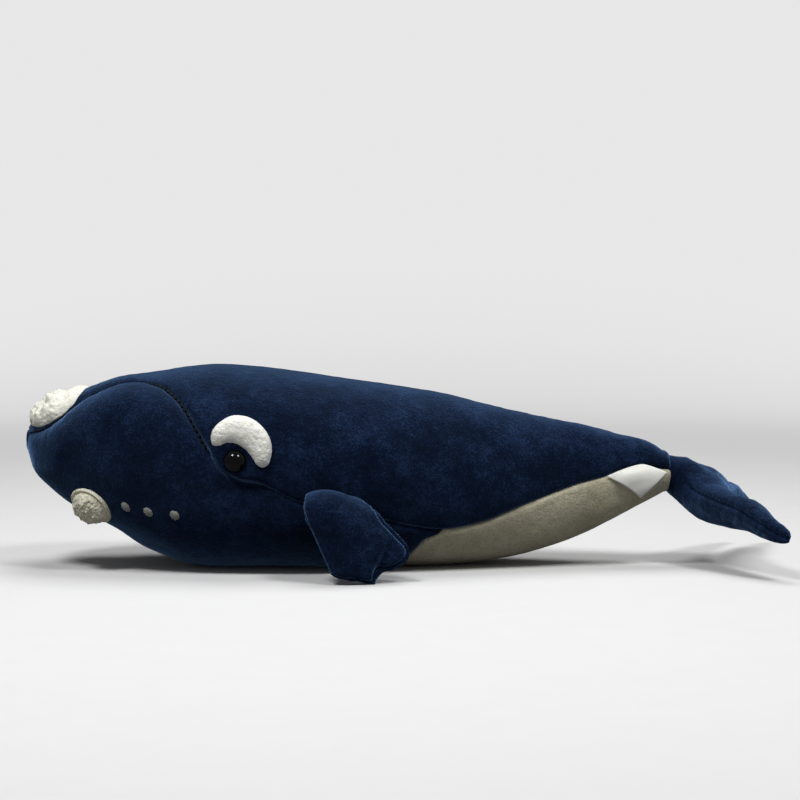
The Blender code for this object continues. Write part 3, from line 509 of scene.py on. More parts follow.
def add_node(tree, kind, inputs, output=0, **settings):
    """Add a node with its settings and inputs, and return one of its outputs."""
    node = tree.nodes.new(f"ShaderNode{kind}")
    for name, value in settings.items():
        setattr(node, name, value)
    for name, value in inputs.items():
        give(tree, node, name, value)
    return node.outputs[output]


def math_node(tree, operation, first, second):
    return add_node(tree, "Math", {0: first, 1: second}, operation=operation)


def grey(value):
    return (value, value, value)


class Look:
    """A material whose textures lie in the object's own space."""

    def __init__(self, name, colour, roughness):
        self.material = bpy.data.materials.new(name)
        self.material.use_nodes = True
        self.tree = self.material.node_tree
        self.shader = self.tree.nodes["Principled BSDF"]
        self.coords = add_node(self.tree, "TexCoord", {}, "Object")
        self.give({"Base Color": (*colour, 1.0), "Roughness": roughness})

    def give(self, inputs):
        for name, value in inputs.items():
            give(self.tree, self.shader, name, value)

    def noise(self, size, detail=3.0, roughness=0.55):
        inputs = {"Vector": self.coords, "Scale": 1.0 / size, "Detail": detail, "Roughness": roughness}
        return add_node(self.tree, "TexNoise", inputs)

    def bands(self, direction, size, distortion):
        inputs = {"Vector": self.coords, "Scale": 1.0 / size, "Distortion": distortion}
        return add_node(self.tree, "TexWave", inputs, "Fac", bands_direction=direction)

    def weighted(self, *parts):
        """The sum of values, each times its weight."""
        total, *others = [math_node(self.tree, "MULTIPLY", value, weight) for value, weight in parts]
        for other in others:
            total = math_node(self.tree, "ADD", total, other)
        return total

    def ramp(self, factor, *stops):
        """Colours between stops, each a place and a colour."""
        node = self.tree.nodes.new("ShaderNodeValToRGB")
        elements = node.color_ramp.elements
        while len(elements) < len(stops):
            elements.new(0.5)
        for element, (place, colour) in zip(elements, stops):
            element.position = place
            element.color = (*colour, 1.0)
        give(self.tree, node, "Fac", factor)
        return node.outputs["Color"]

    def relief(self, *layers):
        """Bumps on top of each other, each a height, a depth and a strength."""
        below = {}
        for height, depth, strength in layers:
            inputs = {"Height": height, "Distance": depth, "Strength": strength, **below}
            below = {"Normal": add_node(self.tree, "Bump", inputs)}
        self.give(below)


def plush_material(name, dark, middle, pale, sheen, tint):
    """Short pile: brushed patches, clumps of fibre and fine fibre ends."""
    look = Look(name, middle, roughness=0.95)
    brushed = look.noise(size=0.019, roughness=0.5)
    clumps = look.noise(size=0.0042, roughness=0.6)
    ends = look.noise(size=0.0010, detail=2.0, roughness=0.65)
    shades = look.weighted((brushed, 0.34), (clumps, 0.22), (ends, 0.44))
    look.relief((brushed, 0.0030, 0.35), (clumps, 0.0008, 0.40), (ends, 0.0006, 0.70))
    look.give({
        "Base Color": look.ramp(shades, (0.40, dark), (0.50, middle), (0.62, pale)),
        "Specular IOR Level": 0.05, "Sheen Weight": sheen, "Sheen Roughness": 0.41,
        "Sheen Tint": (*tint, 1.0),
    })
    return look.material


def sherpa_material(name, painted_cleft_shade, middle, top, size=0.0022):
    """Curled pile: pale tufts with painted shade in the clefts between them, and fine fibres on them."""
    look = Look(name, middle, roughness=0.9)
    curled = look.noise(size, roughness=0.6)
    fibres = look.noise(size=0.0007, detail=2.0, roughness=0.6)
    shades = look.weighted((curled, 0.7), (fibres, 0.3))
    look.relief((curled, 0.0012, 0.50), (fibres, 0.0005, 0.6))
    look.give({
        # The first colour is painted shade: darker where the curls' bumps are low.
        "Base Color": look.ramp(shades, (0.34, painted_cleft_shade), (0.44, middle), (0.54, top)),
        "Specular IOR Level": 0.15, "Sheen Weight": 0.25, "Sheen Roughness": 0.5,
    })
    return look.material


def thread_material(name, dark, pale, twist):
    """Twisted thread: a slanting ply and fine fuzz."""
    look = Look(name, pale, roughness=0.6)
    ply = look.bands("DIAGONAL", twist, distortion=2.0)
    shades = look.weighted((ply, 0.5), (look.noise(size=0.0005), 0.5))
    look.relief((shades, 0.0003, 0.6))
    look.give({"Base Color": look.ramp(shades, (0.25, dark), (0.75, pale)), "Specular IOR Level": 0.2})
    return look.material


def satin_material(name, base, shade, pale):
    """Smooth woven tape with fine lengthwise yarns and a soft gloss."""
    look = Look(name, base, roughness=0.38)
    yarns = look.bands("X", size=0.0016, distortion=0.6)
    shades = look.weighted((yarns, 0.35), (look.noise(size=0.006, detail=2.0), 0.65))
    look.relief((yarns, 0.0002, 0.35))
    look.give({"Base Color": look.ramp(shades, (0.25, shade), (0.7, pale)), "Sheen Weight": 0.3})
    return look.material


def gloss_material(name):
    """Moulded black plastic, polished, with very faint waviness and dust."""
    look = Look(name, grey(0.002), roughness=0.06)
    haze = look.noise(size=0.0018, detail=4.0)
    look.relief((haze, 0.0001, 0.15))
    look.give({
        "Base Color": look.ramp(haze, (0.45, grey(0.0008)), (0.8, grey(0.004))),
        "Roughness": look.ramp(haze, (0.4, grey(0.04)), (0.9, grey(0.12))),
        "Specular IOR Level": 0.32,
    })
    return look.material


def plain_plastic(name, shade, colour):
    """Moulded plastic with a fine grain."""
    look = Look(name, colour, roughness=0.4)
    grain = look.noise(size=0.0008)
    look.relief((grain, 0.0001, 0.3))
    look.give({"Base Color": look.ramp(grain, (0.3, shade), (0.7, colour))})
    return look.material


NAVY = plush_material(
    "navy_pile", (0.0009, 0.0025, 0.0100), (0.0027, 0.0072, 0.0255), (0.0118, 0.0260, 0.0720),
    sheen=1.0, tint=(0.26, 0.51, 1.0),
)
CREAM = plush_material(
    "cream_pile", (0.46, 0.43, 0.31), (0.56, 0.525, 0.385), (0.68, 0.645, 0.505),
    sheen=0.15, tint=(1.0, 0.98, 0.9),
)
# The first colour of each sherpa look is painted shade for its clefts.
SHERPA = sherpa_material("sherpa", (0.70, 0.67, 0.53), (0.89, 0.88, 0.76), (0.94, 0.94, 0.85))
# The chin's sherpa is the rostrum's sherpa painted darker and warmer, as painted shade under the chin.
CHIN_SHERPA_PAINTED_SHADE = sherpa_material("chin_sherpa_painted_shade", (0.50, 0.46, 0.32), (0.82, 0.78, 0.60), (0.93, 0.90, 0.74))
SOFT_WHITE = sherpa_material(
    "soft_white", (0.87, 0.855, 0.74), (0.95, 0.945, 0.86), (0.97, 0.97, 0.91), size=0.0030,
)
FIBRE = sherpa_material("fibre", (0.78, 0.78, 0.76), (0.86, 0.86, 0.84), (0.90, 0.90, 0.88), size=0.004)
DARK_THREAD = thread_material(
    "dark_thread_look", (0.0010, 0.0012, 0.0020), (0.0050, 0.0056, 0.0072), twist=0.0012,
)
# The spots' thread is pale, but it is painted darker grey here as painted shade of the jaw's underside.
SPOT_THREAD_PAINTED_SHADE = thread_material("spot_thread_painted_shade", (0.22, 0.23, 0.215), (0.42, 0.435, 0.40), twist=0.0010)
SATIN = satin_material("satin_look", (0.85, 0.85, 0.84), (0.86, 0.855, 0.80), (0.95, 0.945, 0.90))
GLOSS = gloss_material("gloss_black")
CLEAR = plain_plastic("washer_plastic", (0.68, 0.68, 0.663), (0.80, 0.80, 0.78))


# Stuffed trunk

EYE_STATION = 0.3412
EYE_HEIGHT = 0.566
EYE_DIAMETER = 0.012
EYE_HOLLOW_REACH = 0.011
EYE_HOLD = 1.6
EYE_HOLD_REACH = 0.0055

BALLOON_SINK = 0.0004
FIRST_ROW_SHARE = 0.35
BACK_SEAM_HOLD = 0.6
FLOOR_TOUCH = 0.0025
FLOOR_HOLD = 0.9
SMOOTHING_ROUNDS = 3
DEEPEST_SINK = 0.0003
STUFFED_SHARES = ((0.0, 0.10), (0.07, 0.20), (0.17, 1.0))
CHIN_TUCK = 0.0022
CHIN_FADE = ((0.0, 0.5), (0.012, 1.0), (0.09, 1.0), (0.16, 0.0))
JAW_SWELL = 0.0010
TAIL_SWELL = 0.0021


def surface_point(station, height_share, side):
    return trunk.bare(station, side * trunk.walk_at_height(station, height_share))


EYES = {side: surface_point(EYE_STATION, EYE_HEIGHT, side) for _, side in SIDES}


def near_eye(points):
    return np.minimum(*(np.linalg.norm(points - EYES[side][0], axis=-1) for side in (-1, 1)))


def balloon_held(stations, flat):
    """How firmly the seams, the ends, the floor and the eyes hold the balloon."""
    held = np.zeros(flat.shape[:2])
    held[:, [BALLOON_HALF, 3 * BALLOON_HALF]] = 1
    held[:, [0, -1]] = BACK_SEAM_HOLD
    held[stations < CHEST_END, 2 * BALLOON_HALF] = 1
    held[[0, -1]] = 1
    for k, station in enumerate(stations):
        if CHEST_END <= station <= BELLY_FULL:
            edge = float(table_value(BELLY_EDGE, station))
            held[k, int(round((2 + edge) * BALLOON_HALF))] = 1
            held[k, int(round((2 - edge) * BALLOON_HALF))] = 1
    held = np.maximum(held, np.where(flat[..., 2] < FLOOR_TOUCH, FLOOR_HOLD, 0.0))
    return np.maximum(held, np.clip(EYE_HOLD - near_eye(flat) / EYE_HOLD_REACH, 0, 1))


def smoothed(offsets, free):
    """Even the offsets out between neighbours where the balloon is free."""
    for _ in range(SMOOTHING_ROUNDS):
        around = offsets.copy()
        around[1:-1] = (offsets[:-2] + 2 * offsets[1:-1] + offsets[2:]) / 4
        around[:, 1:-1] = (around[:, :-2] + 2 * around[:, 1:-1] + around[:, 2:]) / 4
        offsets = offsets + (around - offsets) * free
    return offsets


def blow_up_trunk():
    """Fill the trunk out as cloth that is held along its seams."""
    stations = station_at(np.linspace(0, 1, BALLOON_ROWS))
    stations[0] = stations[1] * FIRST_ROW_SHARE
    grid, column = np.meshgrid(stations, np.linspace(-2, 2, 4 * BALLOON_HALF + 1), indexing="ij")
    share = np.abs(column)
    reach = column_walk(share, trunk.seam(grid), trunk.length(grid))
    flat, normals = trunk.bare(grid, np.where(column < 0, -reach, reach))
    sink = BALLOON_SINK * (1 - hill(near_eye(flat), EYE_HOLLOW_REACH))
    start = flat - normals * sink[..., None]
    held = balloon_held(stations, flat)
    balloon = make_object("trunk_balloon", add_tube(bmesh.new(), start[:, :-1]), NAVY)
    end = inflate(balloon, held[:, :-1].ravel(), pressure=6.5, growth=0.008, cap=0.0030)
    bpy.data.objects.remove(balloon, do_unlink=True)
    end = end.reshape(BALLOON_ROWS, 4 * BALLOON_HALF, 3)
    offsets = smoothed(np.concatenate([end, end[:, :1]], axis=1) - flat, 1 - held[..., None])
    out = np.einsum("ijk,ijk->ij", offsets, normals)
    offsets += normals * (np.maximum(out, -DEEPEST_SINK) - out)[..., None]
    offsets *= table_value(STUFFED_SHARES, stations)[:, None, None]
    chin = -CHIN_TUCK * hill(reach, width=0.017) * table_value(CHIN_FADE, grid)
    jaw = JAW_SWELL * hill(reach, width=0.025) * hill(grid, width=0.045, centre=0.20)
    tail = TAIL_SWELL * hill(grid, width=0.026, centre=0.972) * hill(share, width=0.7, centre=2)
    return offsets + normals * (chin + jaw + tail)[..., None]


trunk.offsets = blow_up_trunk()


# Panels

PANEL_STATIONS = 250
STATION_GAP = 0.001
BRIM = np.array([0.0, 0.0003, 0.0007, 0.0012, 0.0018, 0.0026, 0.0036])
BRIM_SHARE = 0.25
SEAM_ROLL = 0.0034
SEAM_DEPTH = 0.0023
BACK_SEAM_DEPTH = 0.0008
CHEST_SEAM_DEPTH = 0.0014
BELLY_SEAM_DEPTH = 0.0022
MIDLINE_GAP = 0.00004
TAIL_ROLL = 0.004
TAIL_ROLL_ROWS = 5

# Fold under the eye, where the back panel lies over the jaw panel
FOLD_DEEPENING = 1.5
FOLD_LIP = 0.0017
FOLD_POCKET = 0.0016

# Pile and puckers
PUCKER_HEIGHT = 0.0005
PUCKER_SIZE = 0.0036
PUCKER_SEED = 3.0
PUCKER_STRETCH = np.array([1.0, 0.35, 0.35])
PUCKER_REACH = 0.0045
CALM_REACH = 0.007
CALM_SWELL = 0.0004
CALM_WAVES = ((0.0007, 0.050, 1, 5.0), (0.00022, 0.015, 2, 9.0))
PILE_WAVES = ((0.00010, 0.0052, 2, 13.0),)
EYE_RING_HEIGHT = 0.0017
EYE_DIP = 0.0006


def spread_walks(low, high, count):
    """Walks across a panel, close together at both edges."""
    span = high - low
    brim = BRIM * min(1.0, abs(span) * BRIM_SHARE / BRIM[-1]) * np.sign(span)
    inner = np.linspace(low + brim[-1], high - brim[-1], count)[1:-1]
    return np.concatenate([low + brim, inner, high - brim[::-1]])


def roll_in(edge, depth):
    """How deep the fabric turns in at a distance from a seam."""
    away = np.clip(edge / SEAM_ROLL, 0, 1)
    return depth * (1 - np.sqrt(1 - (1 - away) ** 2))


def tail_roll(points, normals):
    """Rows that turn the last row in at the tail's end."""
    return np.array([
        points - normals * TAIL_ROLL * (1 - math.cos(turn)) - FORWARD * TAIL_ROLL * math.sin(turn)
        for turn in np.linspace(0, math.pi / 2, TAIL_ROLL_ROWS + 1)[1:]
    ])


def panel_rows(stations, low, high, count, fold=None):
    """Points of a panel between two edges, each a walk, a slant and a depth of its seam."""
    (low_walk, low_slant, low_depth), (high_walk, high_slant, high_depth) = low, high
    walks = np.array([spread_walks(low_walk(s), high_walk(s), count) for s in stations])
    grid = np.repeat(np.array(stations)[:, None], walks.shape[1], axis=1)
    from_low = np.abs(walks - walks[:, :1]) / np.array([low_slant(s) for s in stations])[:, None]
    from_high = np.abs(walks - walks[:, -1:]) / np.array([high_slant(s) for s in stations])[:, None]
    points, normals = trunk.skin(grid, walks)
    under_eye = 1 + FOLD_DEEPENING * hill(grid, width=0.035, centre=0.352)
    height = -(roll_in(from_low, low_depth) + roll_in(from_high, high_depth)) * under_eye
    pocket = hill(grid, width=0.030, centre=0.356)
    if fold == "over":
        height += FOLD_LIP * pocket * hill(from_low, width=0.0028, centre=0.0042)
    elif fold == "under":
        height -= FOLD_POCKET * pocket * hill(from_high, width=0.0050)
    edge = np.minimum(from_low, from_high)
    pucker = np.clip(bumps(points * PUCKER_STRETCH, PUCKER_SIZE, 1, PUCKER_SEED), -1, 1)
    height += PUCKER_HEIGHT * pucker * np.exp(-edge / PUCKER_REACH)
    height += (1 - np.exp(-edge / CALM_REACH)) * (CALM_SWELL + waves(points, CALM_WAVES))
    height += waves(points, PILE_WAVES)
    away = near_eye(points)
    height += EYE_RING_HEIGHT * hill(away, width=0.0042, centre=0.0105) - EYE_DIP * hill(away, width=0.005)
    points = points + normals * height[..., None]
    if stations[-1] >= 1.0:
        points = np.concatenate([points, tail_roll(points[-1], normals[-1])])
    points[..., 2] = np.maximum(points[..., 2], LOWEST_PILE)
    return points


def panel_piece(name, node, points, material, side=0):
    if side:
        points[..., 1] = side * np.maximum(side * points[..., 1], MIDLINE_GAP)
    mesh = open_grid(points)
    weld(mesh)
    stand_for(make_object(name, mesh, material), [node], "trunk")


def dense_stations(first, last, special=()):
    kept = [float(s) for s in station_at(np.linspace(0, 1, PANEL_STATIONS)) if first < s < last]
    kept = [s for s in kept if all(abs(s - other) > STATION_GAP for other in special)]
    return sorted([first, last, *kept, *special])


def back_piece(side_name, side):
    low = (lambda s: side * trunk.seam(s), seam_slant, SEAM_DEPTH)
    high = (lambda s: side * trunk.length(s), lambda s: 1.0, BACK_SEAM_DEPTH)
    points = panel_rows(dense_stations(BACK_START, 1.0), low, high, count=52, fold="over")
    panel_piece(f"back_{side_name}", f"back_panel_{side_name}", points, NAVY, side)


def jaw_piece(side_name, side):
    stations = [*NOSE_STATIONS, *dense_stations(NOSE_END, JAW_END, LIP_STATIONS)]

    def low_walk(station):
        return side * belly_edge(station) if station > CHEST_END else 0.0

    def low_slant(station):
        return belly_slant(station) if station > CHEST_END else 1.0

    def high_walk(station):
        return side * (trunk.length(station) if station <= NOSE_END else trunk.seam(station))

    low = (low_walk, low_slant, CHEST_SEAM_DEPTH)
    high = (high_walk, seam_slant, SEAM_DEPTH)
    points = panel_rows(stations, low, high, count=46, fold="under")
    panel_piece(f"jaw_{side_name}", f"jaw_panel_{side_name}", points, NAVY, side)


def belly_piece():
    def edge_slant(station):
        return seam_slant(station) if station >= BELLY_FULL else belly_slant(station)

    stations = dense_stations(BELLY_START, 1.0, [station for station, _ in BELLY_EDGE[1:]])
    low = (lambda s: -belly_edge(s), edge_slant, BELLY_SEAM_DEPTH)
    high = (belly_edge, edge_slant, BELLY_SEAM_DEPTH)
    panel_piece("belly", "belly_panel", panel_rows(stations, low, high, count=70), CREAM)


FILLING_DEPTH = 0.0085
FILLING_WAVES = ((0.0008, 0.014, 2, 21.0),)
FILLING_HALF = 24
FILLING_SPAN = (0.02, 0.955)


def stuffing_piece():
    """The loose fibre inside the trunk."""
    stations = np.array(dense_stations(*FILLING_SPAN)[::3])[:, None]
    up = np.linspace(0.0, 1.0, FILLING_HALF + 1)
    walks = np.concatenate([up, -up[-2:0:-1]]) * trunk.length(stations)
    points, normals = trunk.bare(stations, walks)
    points = points - normals * (FILLING_DEPTH + waves(points, FILLING_WAVES))[..., None]
    piece = make_object("trunk_stuffing", add_tube(bmesh.new(), points), FIBRE)
    stand_for(piece, ["trunk_filling"], "trunk")


for side_name, side in SIDES:
    back_piece(side_name, side)
    jaw_piece(side_name, side)
belly_piece()
stuffing_piece()


# Patches

def round_loop(rows, count):
    """A closed smooth loop through rows of numbers; the first two are its place."""
    rows = np.array(rows, float)
    ring = np.concatenate([rows[-3:], rows, rows[:4]])
    knots = travelled(ring[:, :2])
    at = np.linspace(knots[3], knots[3 + len(rows)], count, endpoint=False)
    return np.stack([smooth_through(knots, ring[:, k])(at) for k in range(rows.shape[1])], axis=-1)


def nearest_on_path(points, path):
    """The nearest point of an open path to each point, and its share of the way along."""
    path = np.array(path, float)
    best = np.full(len(points), np.inf)
    spots = np.zeros((len(points), 2))
    parts = np.zeros(len(points))
    for k, (start, end) in enumerate(zip(path, path[1:])):
        run = end - start
        part = np.clip(((points - start) @ run) / (run @ run), 0, 1)
        spot = start + part[:, None] * run
        gap = np.linalg.norm(points - spot, axis=1)
        closer = gap < best
        best = np.where(closer, gap, best)
        spots[closer] = spot[closer]
        parts = np.where(closer, (k + part) / (len(path) - 1), parts)
    return spots, parts


def pillow_grid(outline, spine, levels, last=0.03):
    """Rows of flat places from the outline in to the spine, and each row's climb."""
    shares = np.cos(np.linspace(0, math.acos(last), levels + 1))
    return spine[None] + (outline - spine)[None] * shares[:, None, None], 1 - shares**2


def close_ridge(mesh, ring, along):
    """Fill a long thin ring with triangles from side to side, in order along its ridge."""
    count = len(ring)
    ahead = int(np.argmin(along))
    behind = ahead - 1
    for _ in range(count - 2):
        if along[(ahead + 1) % count] <= along[(behind - 1) % count]:
            mesh.faces.new((ring[behind % count], ring[ahead % count], ring[(ahead + 1) % count]))
            ahead += 1
        else:
            mesh.faces.new((ring[(behind - 1) % count], ring[behind % count], ring[ahead % count]))
            behind -= 1


def patch_piece(name, node, points, material, along=None):
    """A patch of closed rows. Its last ring is filled along a ridge, or else by one face."""
    mesh = bmesh.new()
    corners = add_grid(mesh, points)
    if along is None:
        mesh.faces.new(corners[-1])
    else:
        close_ridge(mesh, corners[-1], along)
    weld(mesh)
    stand_for(make_object(name, mesh, material), [node], "trunk")


# Station, and share of the way from the top centre down to the side seam
ROSTRUM_OUTLINE = (
    (0.0120, 0.0), (0.0130, 0.42), (0.018, 0.74), (0.030, 0.88), (0.048, 0.93), (0.064, 0.95),
    (0.080, 0.93), (0.092, 0.78), (0.100, 0.40), (0.102, 0.0),
)
ROSTRUM_SPINE = (0.026, 0.080)
STATION_SCALE = 10
ROSTRUM_SINK = 0.0012
ROSTRUM_EDGE = 0.0016
ROSTRUM_CROWN = 0.0062
ROSTRUM_CROWN_SHARES = ((0.0, 0.86), (0.052, 1.0), (0.060, 0.95), (0.070, 0.56), (0.100, 0.42))
ROSTRUM_CURL_SHARES = ((0.062, 1.0), (0.074, 0.35))
ROSTRUM_TUFTS = ((0.0030, 0.0052, 2.0, 0.6), (0.0018, 0.0024, 3.0, 0.5))
ROSTRUM_WAVES = ((0.0010, 0.009, 2, 4.0),)


def rostrum_piece():
    left = [(station, -share) for station, share in reversed(ROSTRUM_OUTLINE[1:-1])]
    loop = [(station * STATION_SCALE, share) for station, share in [*ROSTRUM_OUTLINE, *left]]
    outline = round_loop(loop, count=220) * np.array([1 / STATION_SCALE, 1.0])
    spine = np.stack([np.clip(outline[:, 0], *ROSTRUM_SPINE), np.zeros(len(outline))], axis=-1)
    places, climbs = pillow_grid(outline, spine, levels=34)
    climb = climbs[:, None]
    stations, shares = places[..., 0], places[..., 1]
    length = trunk.length(stations)
    reach = length - (length - trunk.seam(stations)) * np.abs(shares)
    base, normals = trunk.skin(stations, np.where(shares < 0, -reach, reach))
    crown = ROSTRUM_CROWN * table_value(ROSTRUM_CROWN_SHARES, stations) + ROSTRUM_EDGE
    pile = tufts(base, ROSTRUM_TUFTS) + waves(base, ROSTRUM_WAVES)
    curled = climb**0.4 * table_value(ROSTRUM_CURL_SHARES, stations)
    height = -ROSTRUM_SINK + crown * climb**0.5 + curled * pile
    points = base + normals * height[..., None]
    patch_piece("rostrum_sherpa", "rostrum_patch", points, SHERPA, spine[:, 0])


def flank_walks(stations, heights):
    """The walk at which the flank reaches each height."""
    rows = np.clip(np.rint(ease(stations) * (TABLE_ROWS - 1)).astype(int), 0, TABLE_ROWS - 1)
    columns = np.linspace(0, 2, 2 * TABLE_HALF + 1)
    pairs = zip(rows.flat, heights.flat)
    found = [np.interp(height, trunk.points[row, :, 2], columns) for row, height in pairs]
    return column_walk(np.reshape(found, rows.shape), trunk.seams[rows], trunk.lengths[rows])


# Places back and up from the eye, in eye diameters
BROW_OUTLINE = (
    (-1.02, 0.90), (-0.98, 1.22), (-0.78, 1.52), (-0.50, 1.74), (-0.16, 1.90), (0.20, 1.92),
    (0.58, 1.84), (0.96, 1.64), (1.28, 1.34), (1.50, 0.98), (1.60, 0.58), (1.56, 0.16),
    (1.42, -0.18), (1.19, -0.30), (0.92, -0.21), (0.73, 0.07), (0.53, 0.33), (0.27, 0.54),
    (-0.02, 0.65), (-0.30, 0.67), (-0.60, 0.55), (-0.90, 0.59),
)
BROW_SPINE = (
    (-0.66, 1.10), (-0.30, 1.30), (0.10, 1.34), (0.50, 1.24), (0.84, 0.98), (1.08, 0.62), (1.18, 0.22),
)
BROW_SINK = 0.0010
BROW_CROWN = 0.0056
BROW_TUFTS = ((0.0005, 0.0026, 8.0, 0.5),)
BROW_WAVES = ((0.0003, 0.007, 2, 6.0),)


def brow_piece(side_name, side):
    eye_point = EYES[side][0]
    outline = round_loop(BROW_OUTLINE, count=180) * EYE_DIAMETER
    spine, along = nearest_on_path(outline, np.array(BROW_SPINE) * EYE_DIAMETER)
    places, climbs = pillow_grid(outline, spine, levels=26)
    stations = (eye_point[0] + places[..., 0] - SNOUT_X) / TRUNK_LENGTH
    walks = side * flank_walks(stations, eye_point[2] + places[..., 1])
    base, normals = trunk.skin(stations, walks)
    pile = tufts(base, BROW_TUFTS) + waves(base, BROW_WAVES)
    height = -BROW_SINK + (BROW_CROWN + pile) * climbs[:, None] ** 0.5
    points = base + normals * height[..., None]
    patch_piece(f"brow_{side_name}", f"brow_patch_{side_name}", points, SOFT_WHITE, along)


PATCH_REACH = 0.05


def around_point(station, height_share, side):
    """Turn runs back and walks up from one point into stations and walks."""
    _, normal = surface_point(station, height_share, side)
    lean = math.sqrt(max(1 - normal[0] ** 2, 0.0))
    knots = np.linspace(max(station - PATCH_REACH, 0.0), station + PATCH_REACH, 60)
    rises = np.array([trunk.walk_at_height(float(s), height_share) for s in knots])

    def place(run, rise):
        stations = station + run * lean / TRUNK_LENGTH
        return stations, side * (np.interp(stations, knots, rises) + rise)

    return place


def disc_grid(shares, turns, radius):
    """Runs and rises of the points of a disc, ring by ring from its rim."""
    return shares[:, None] * np.cos(turns) * radius, shares[:, None] * np.sin(turns) * radius


CHIN_PLACE = (0.116, 0.135)
CHIN_DROP = 0.0012
CHIN_RADIUS = 0.0235 / 2
CHIN_SINK = 0.0010
CHIN_DOME_HEIGHT = 0.0086
CHIN_DOME_SHARE = 0.88
CHIN_RIM_HEIGHT = 0.0010
CHIN_RIM_REAR = 0.0013
CHIN_RIM_SHARE = 0.935
CHIN_RIM_HALF = 0.066
CHIN_REAR_TURN = 0.5
CHIN_RINGS = np.concatenate([np.linspace(1.0, 0.82, 14), np.linspace(0.80, 0.03, 26)])
CHIN_TUFTS = ((0.0012, 0.0036, 12.0, 0.5), (0.0011, 0.0019, 5.0, 0.5))
CHIN_WAVES = ((0.0004, 0.006, 2, 7.0),)


def chin_piece(side_name, side):
    """A curled dome inside a low rolled rim, which is fuller at the rear."""
    turns = full_turn(150)
    runs, rises = disc_grid(CHIN_RINGS, turns, CHIN_RADIUS)
    stations, walks = around_point(*CHIN_PLACE, side)(runs, rises - CHIN_DROP)
    base, normals = trunk.skin(stations, walks)
    rear = np.clip(0.55 + 0.45 * np.cos(turns - CHIN_REAR_TURN), 0, 1)
    rim = dome((CHIN_RINGS - CHIN_RIM_SHARE) / CHIN_RIM_HALF)[:, None]
    rim = rim * (CHIN_RIM_HEIGHT + CHIN_RIM_REAR * rear)
    disc = dome(CHIN_RINGS / CHIN_DOME_SHARE)[:, None]
    height = -CHIN_SINK + np.maximum(rim + CHIN_SINK, CHIN_DOME_HEIGHT * disc)
    height += np.minimum(disc * 1.5, 1) * (tufts(base, CHIN_TUFTS) + waves(base, CHIN_WAVES))
    points = base + normals * height[..., None]
    # The chin patch's darker sherpa is painted shade.
    patch_piece(f"chin_{side_name}", f"chin_patch_{side_name}", points, CHIN_SHERPA_PAINTED_SHADE)


rostrum_piece()
for side_name, side in SIDES:
    brow_piece(side_name, side)
    chin_piece(side_name, side)


# Eyes

EYE_RADIUS = EYE_DIAMETER / 2
EYE_LIFT = 0.16
# Share of the radius, and height over the plush
EYE_FOOT = ((0.05, -0.0015), (0.9, -0.0015), (0.985, -0.0008), (1.0, 0.0002))
EYE_TIP = 0.00002
EYE_DOME_BASE = 0.0003
EYE_DOME_HEIGHT = 0.0054


def eye_piece(side_name, side):
    """A flat base with a rounded rim under a dome that looks a little up."""
    point, normal = EYES[side]
    up = (Vector(normal) + Vector((0, 0, EYE_LIFT))).normalized()
    across = up.orthogonal().normalized()
    other = up.cross(across)
    profile = [(EYE_RADIUS * share, height) for share, height in EYE_FOOT]
    profile += [
        (EYE_RADIUS * math.cos(turn), EYE_DOME_BASE + EYE_DOME_HEIGHT * math.sin(turn))
        for turn in np.linspace(0, math.pi / 2, 22)
    ]
    rows = [
        [
            Vector(point) + up * height
            + (across * math.cos(turn) + other * math.sin(turn)) * max(out, EYE_TIP)
            for turn in full_turn(72)
        ]
        for out, height in profile
    ]
    piece = make_object(f"eye_dome_{side_name}", add_tube(bmesh.new(), rows), GLOSS)
    stand_for(piece, [f"eye_{side_name}"], "trunk")


# Spots and stitching

SPOTS = ((0.1734, 0.222), (0.2088, 0.251), (0.2497, 0.279))
SPOT_RADIUS = 0.00275
SPOT_SINK = 0.0002
SPOT_HEIGHT = 0.0016
SPOT_THREAD_HEIGHT = 0.00018
SPOT_THREAD_WIDTH = 0.00042
SPOT_THREAD_WAY = (0.8, 0.6)
SPOT_WOBBLE = 0.05
SPOT_LOBES = 9


def spot_piece(side_name, side, number, spot):
    """Satin stitch: close threads laid side by side over a low dome."""
    turns = full_turn(72)
    shares = np.linspace(1.0, 0.04, 20)
    runs, rises = disc_grid(shares, turns, SPOT_RADIUS)
    wobble = 1 + SPOT_WOBBLE * np.sin(turns * SPOT_LOBES + number)
    stations, walks = around_point(*spot, side)(runs * wobble, rises * wobble)
    base, normals = trunk.skin(stations, walks)
    swell = dome(shares)[:, None]
    way = runs * SPOT_THREAD_WAY[0] + rises * SPOT_THREAD_WAY[1]
    threads = np.abs(np.sin(math.pi * way / SPOT_THREAD_WIDTH))
    height = -SPOT_SINK + SPOT_HEIGHT * swell + SPOT_THREAD_HEIGHT * threads * np.minimum(swell * 2, 1)
    mesh = bmesh.new()
    mesh.faces.new(add_grid(mesh, base + normals * height[..., None])[-1])
    # The spot's grey thread includes painted shade of the jaw's underside.
    piece = make_object(f"spot_{side_name}_{number}", mesh, SPOT_THREAD_PAINTED_SHADE)
    stand_for(piece, [f"jaw_spot_{side_name}_{number}"], "trunk")


MOUTH_SPAN = (0.010, 0.303)
STITCH_OVERLAP = 0.0003
STITCH_STOP = 0.003
STITCH_DIVE = 1.3
STITCH_TIP = 0.08
FINE_STITCH = {"length": 0.0030, "radius": 0.00042, "lift": -0.0010}
HEAVY_EXTRA = {"length": 0.0006, "radius": 0.00026, "lift": 0.0006}


def stitch_rows(points, normals, radius, sides=8):
    """A short thread along points, round in section and sunk at both ends."""
    rows = []
    last = len(points) - 1
    for k, point in enumerate(points):
        along = unit(points[min(k + 1, last)] - points[max(k - 1, 0)])
        up = unit(normals[k] - along * np.dot(normals[k], along))
        over = np.cross(along, up)
        end = abs(2 * k / last - 1)
        size = radius * math.sqrt(max(1 - end**4, STITCH_TIP))
        centre = point - up * radius * STITCH_DIVE * end**3
        rows.append([
            centre + (up * math.sin(turn) + over * math.cos(turn)) * size for turn in full_turn(sides)
        ])
    return rows


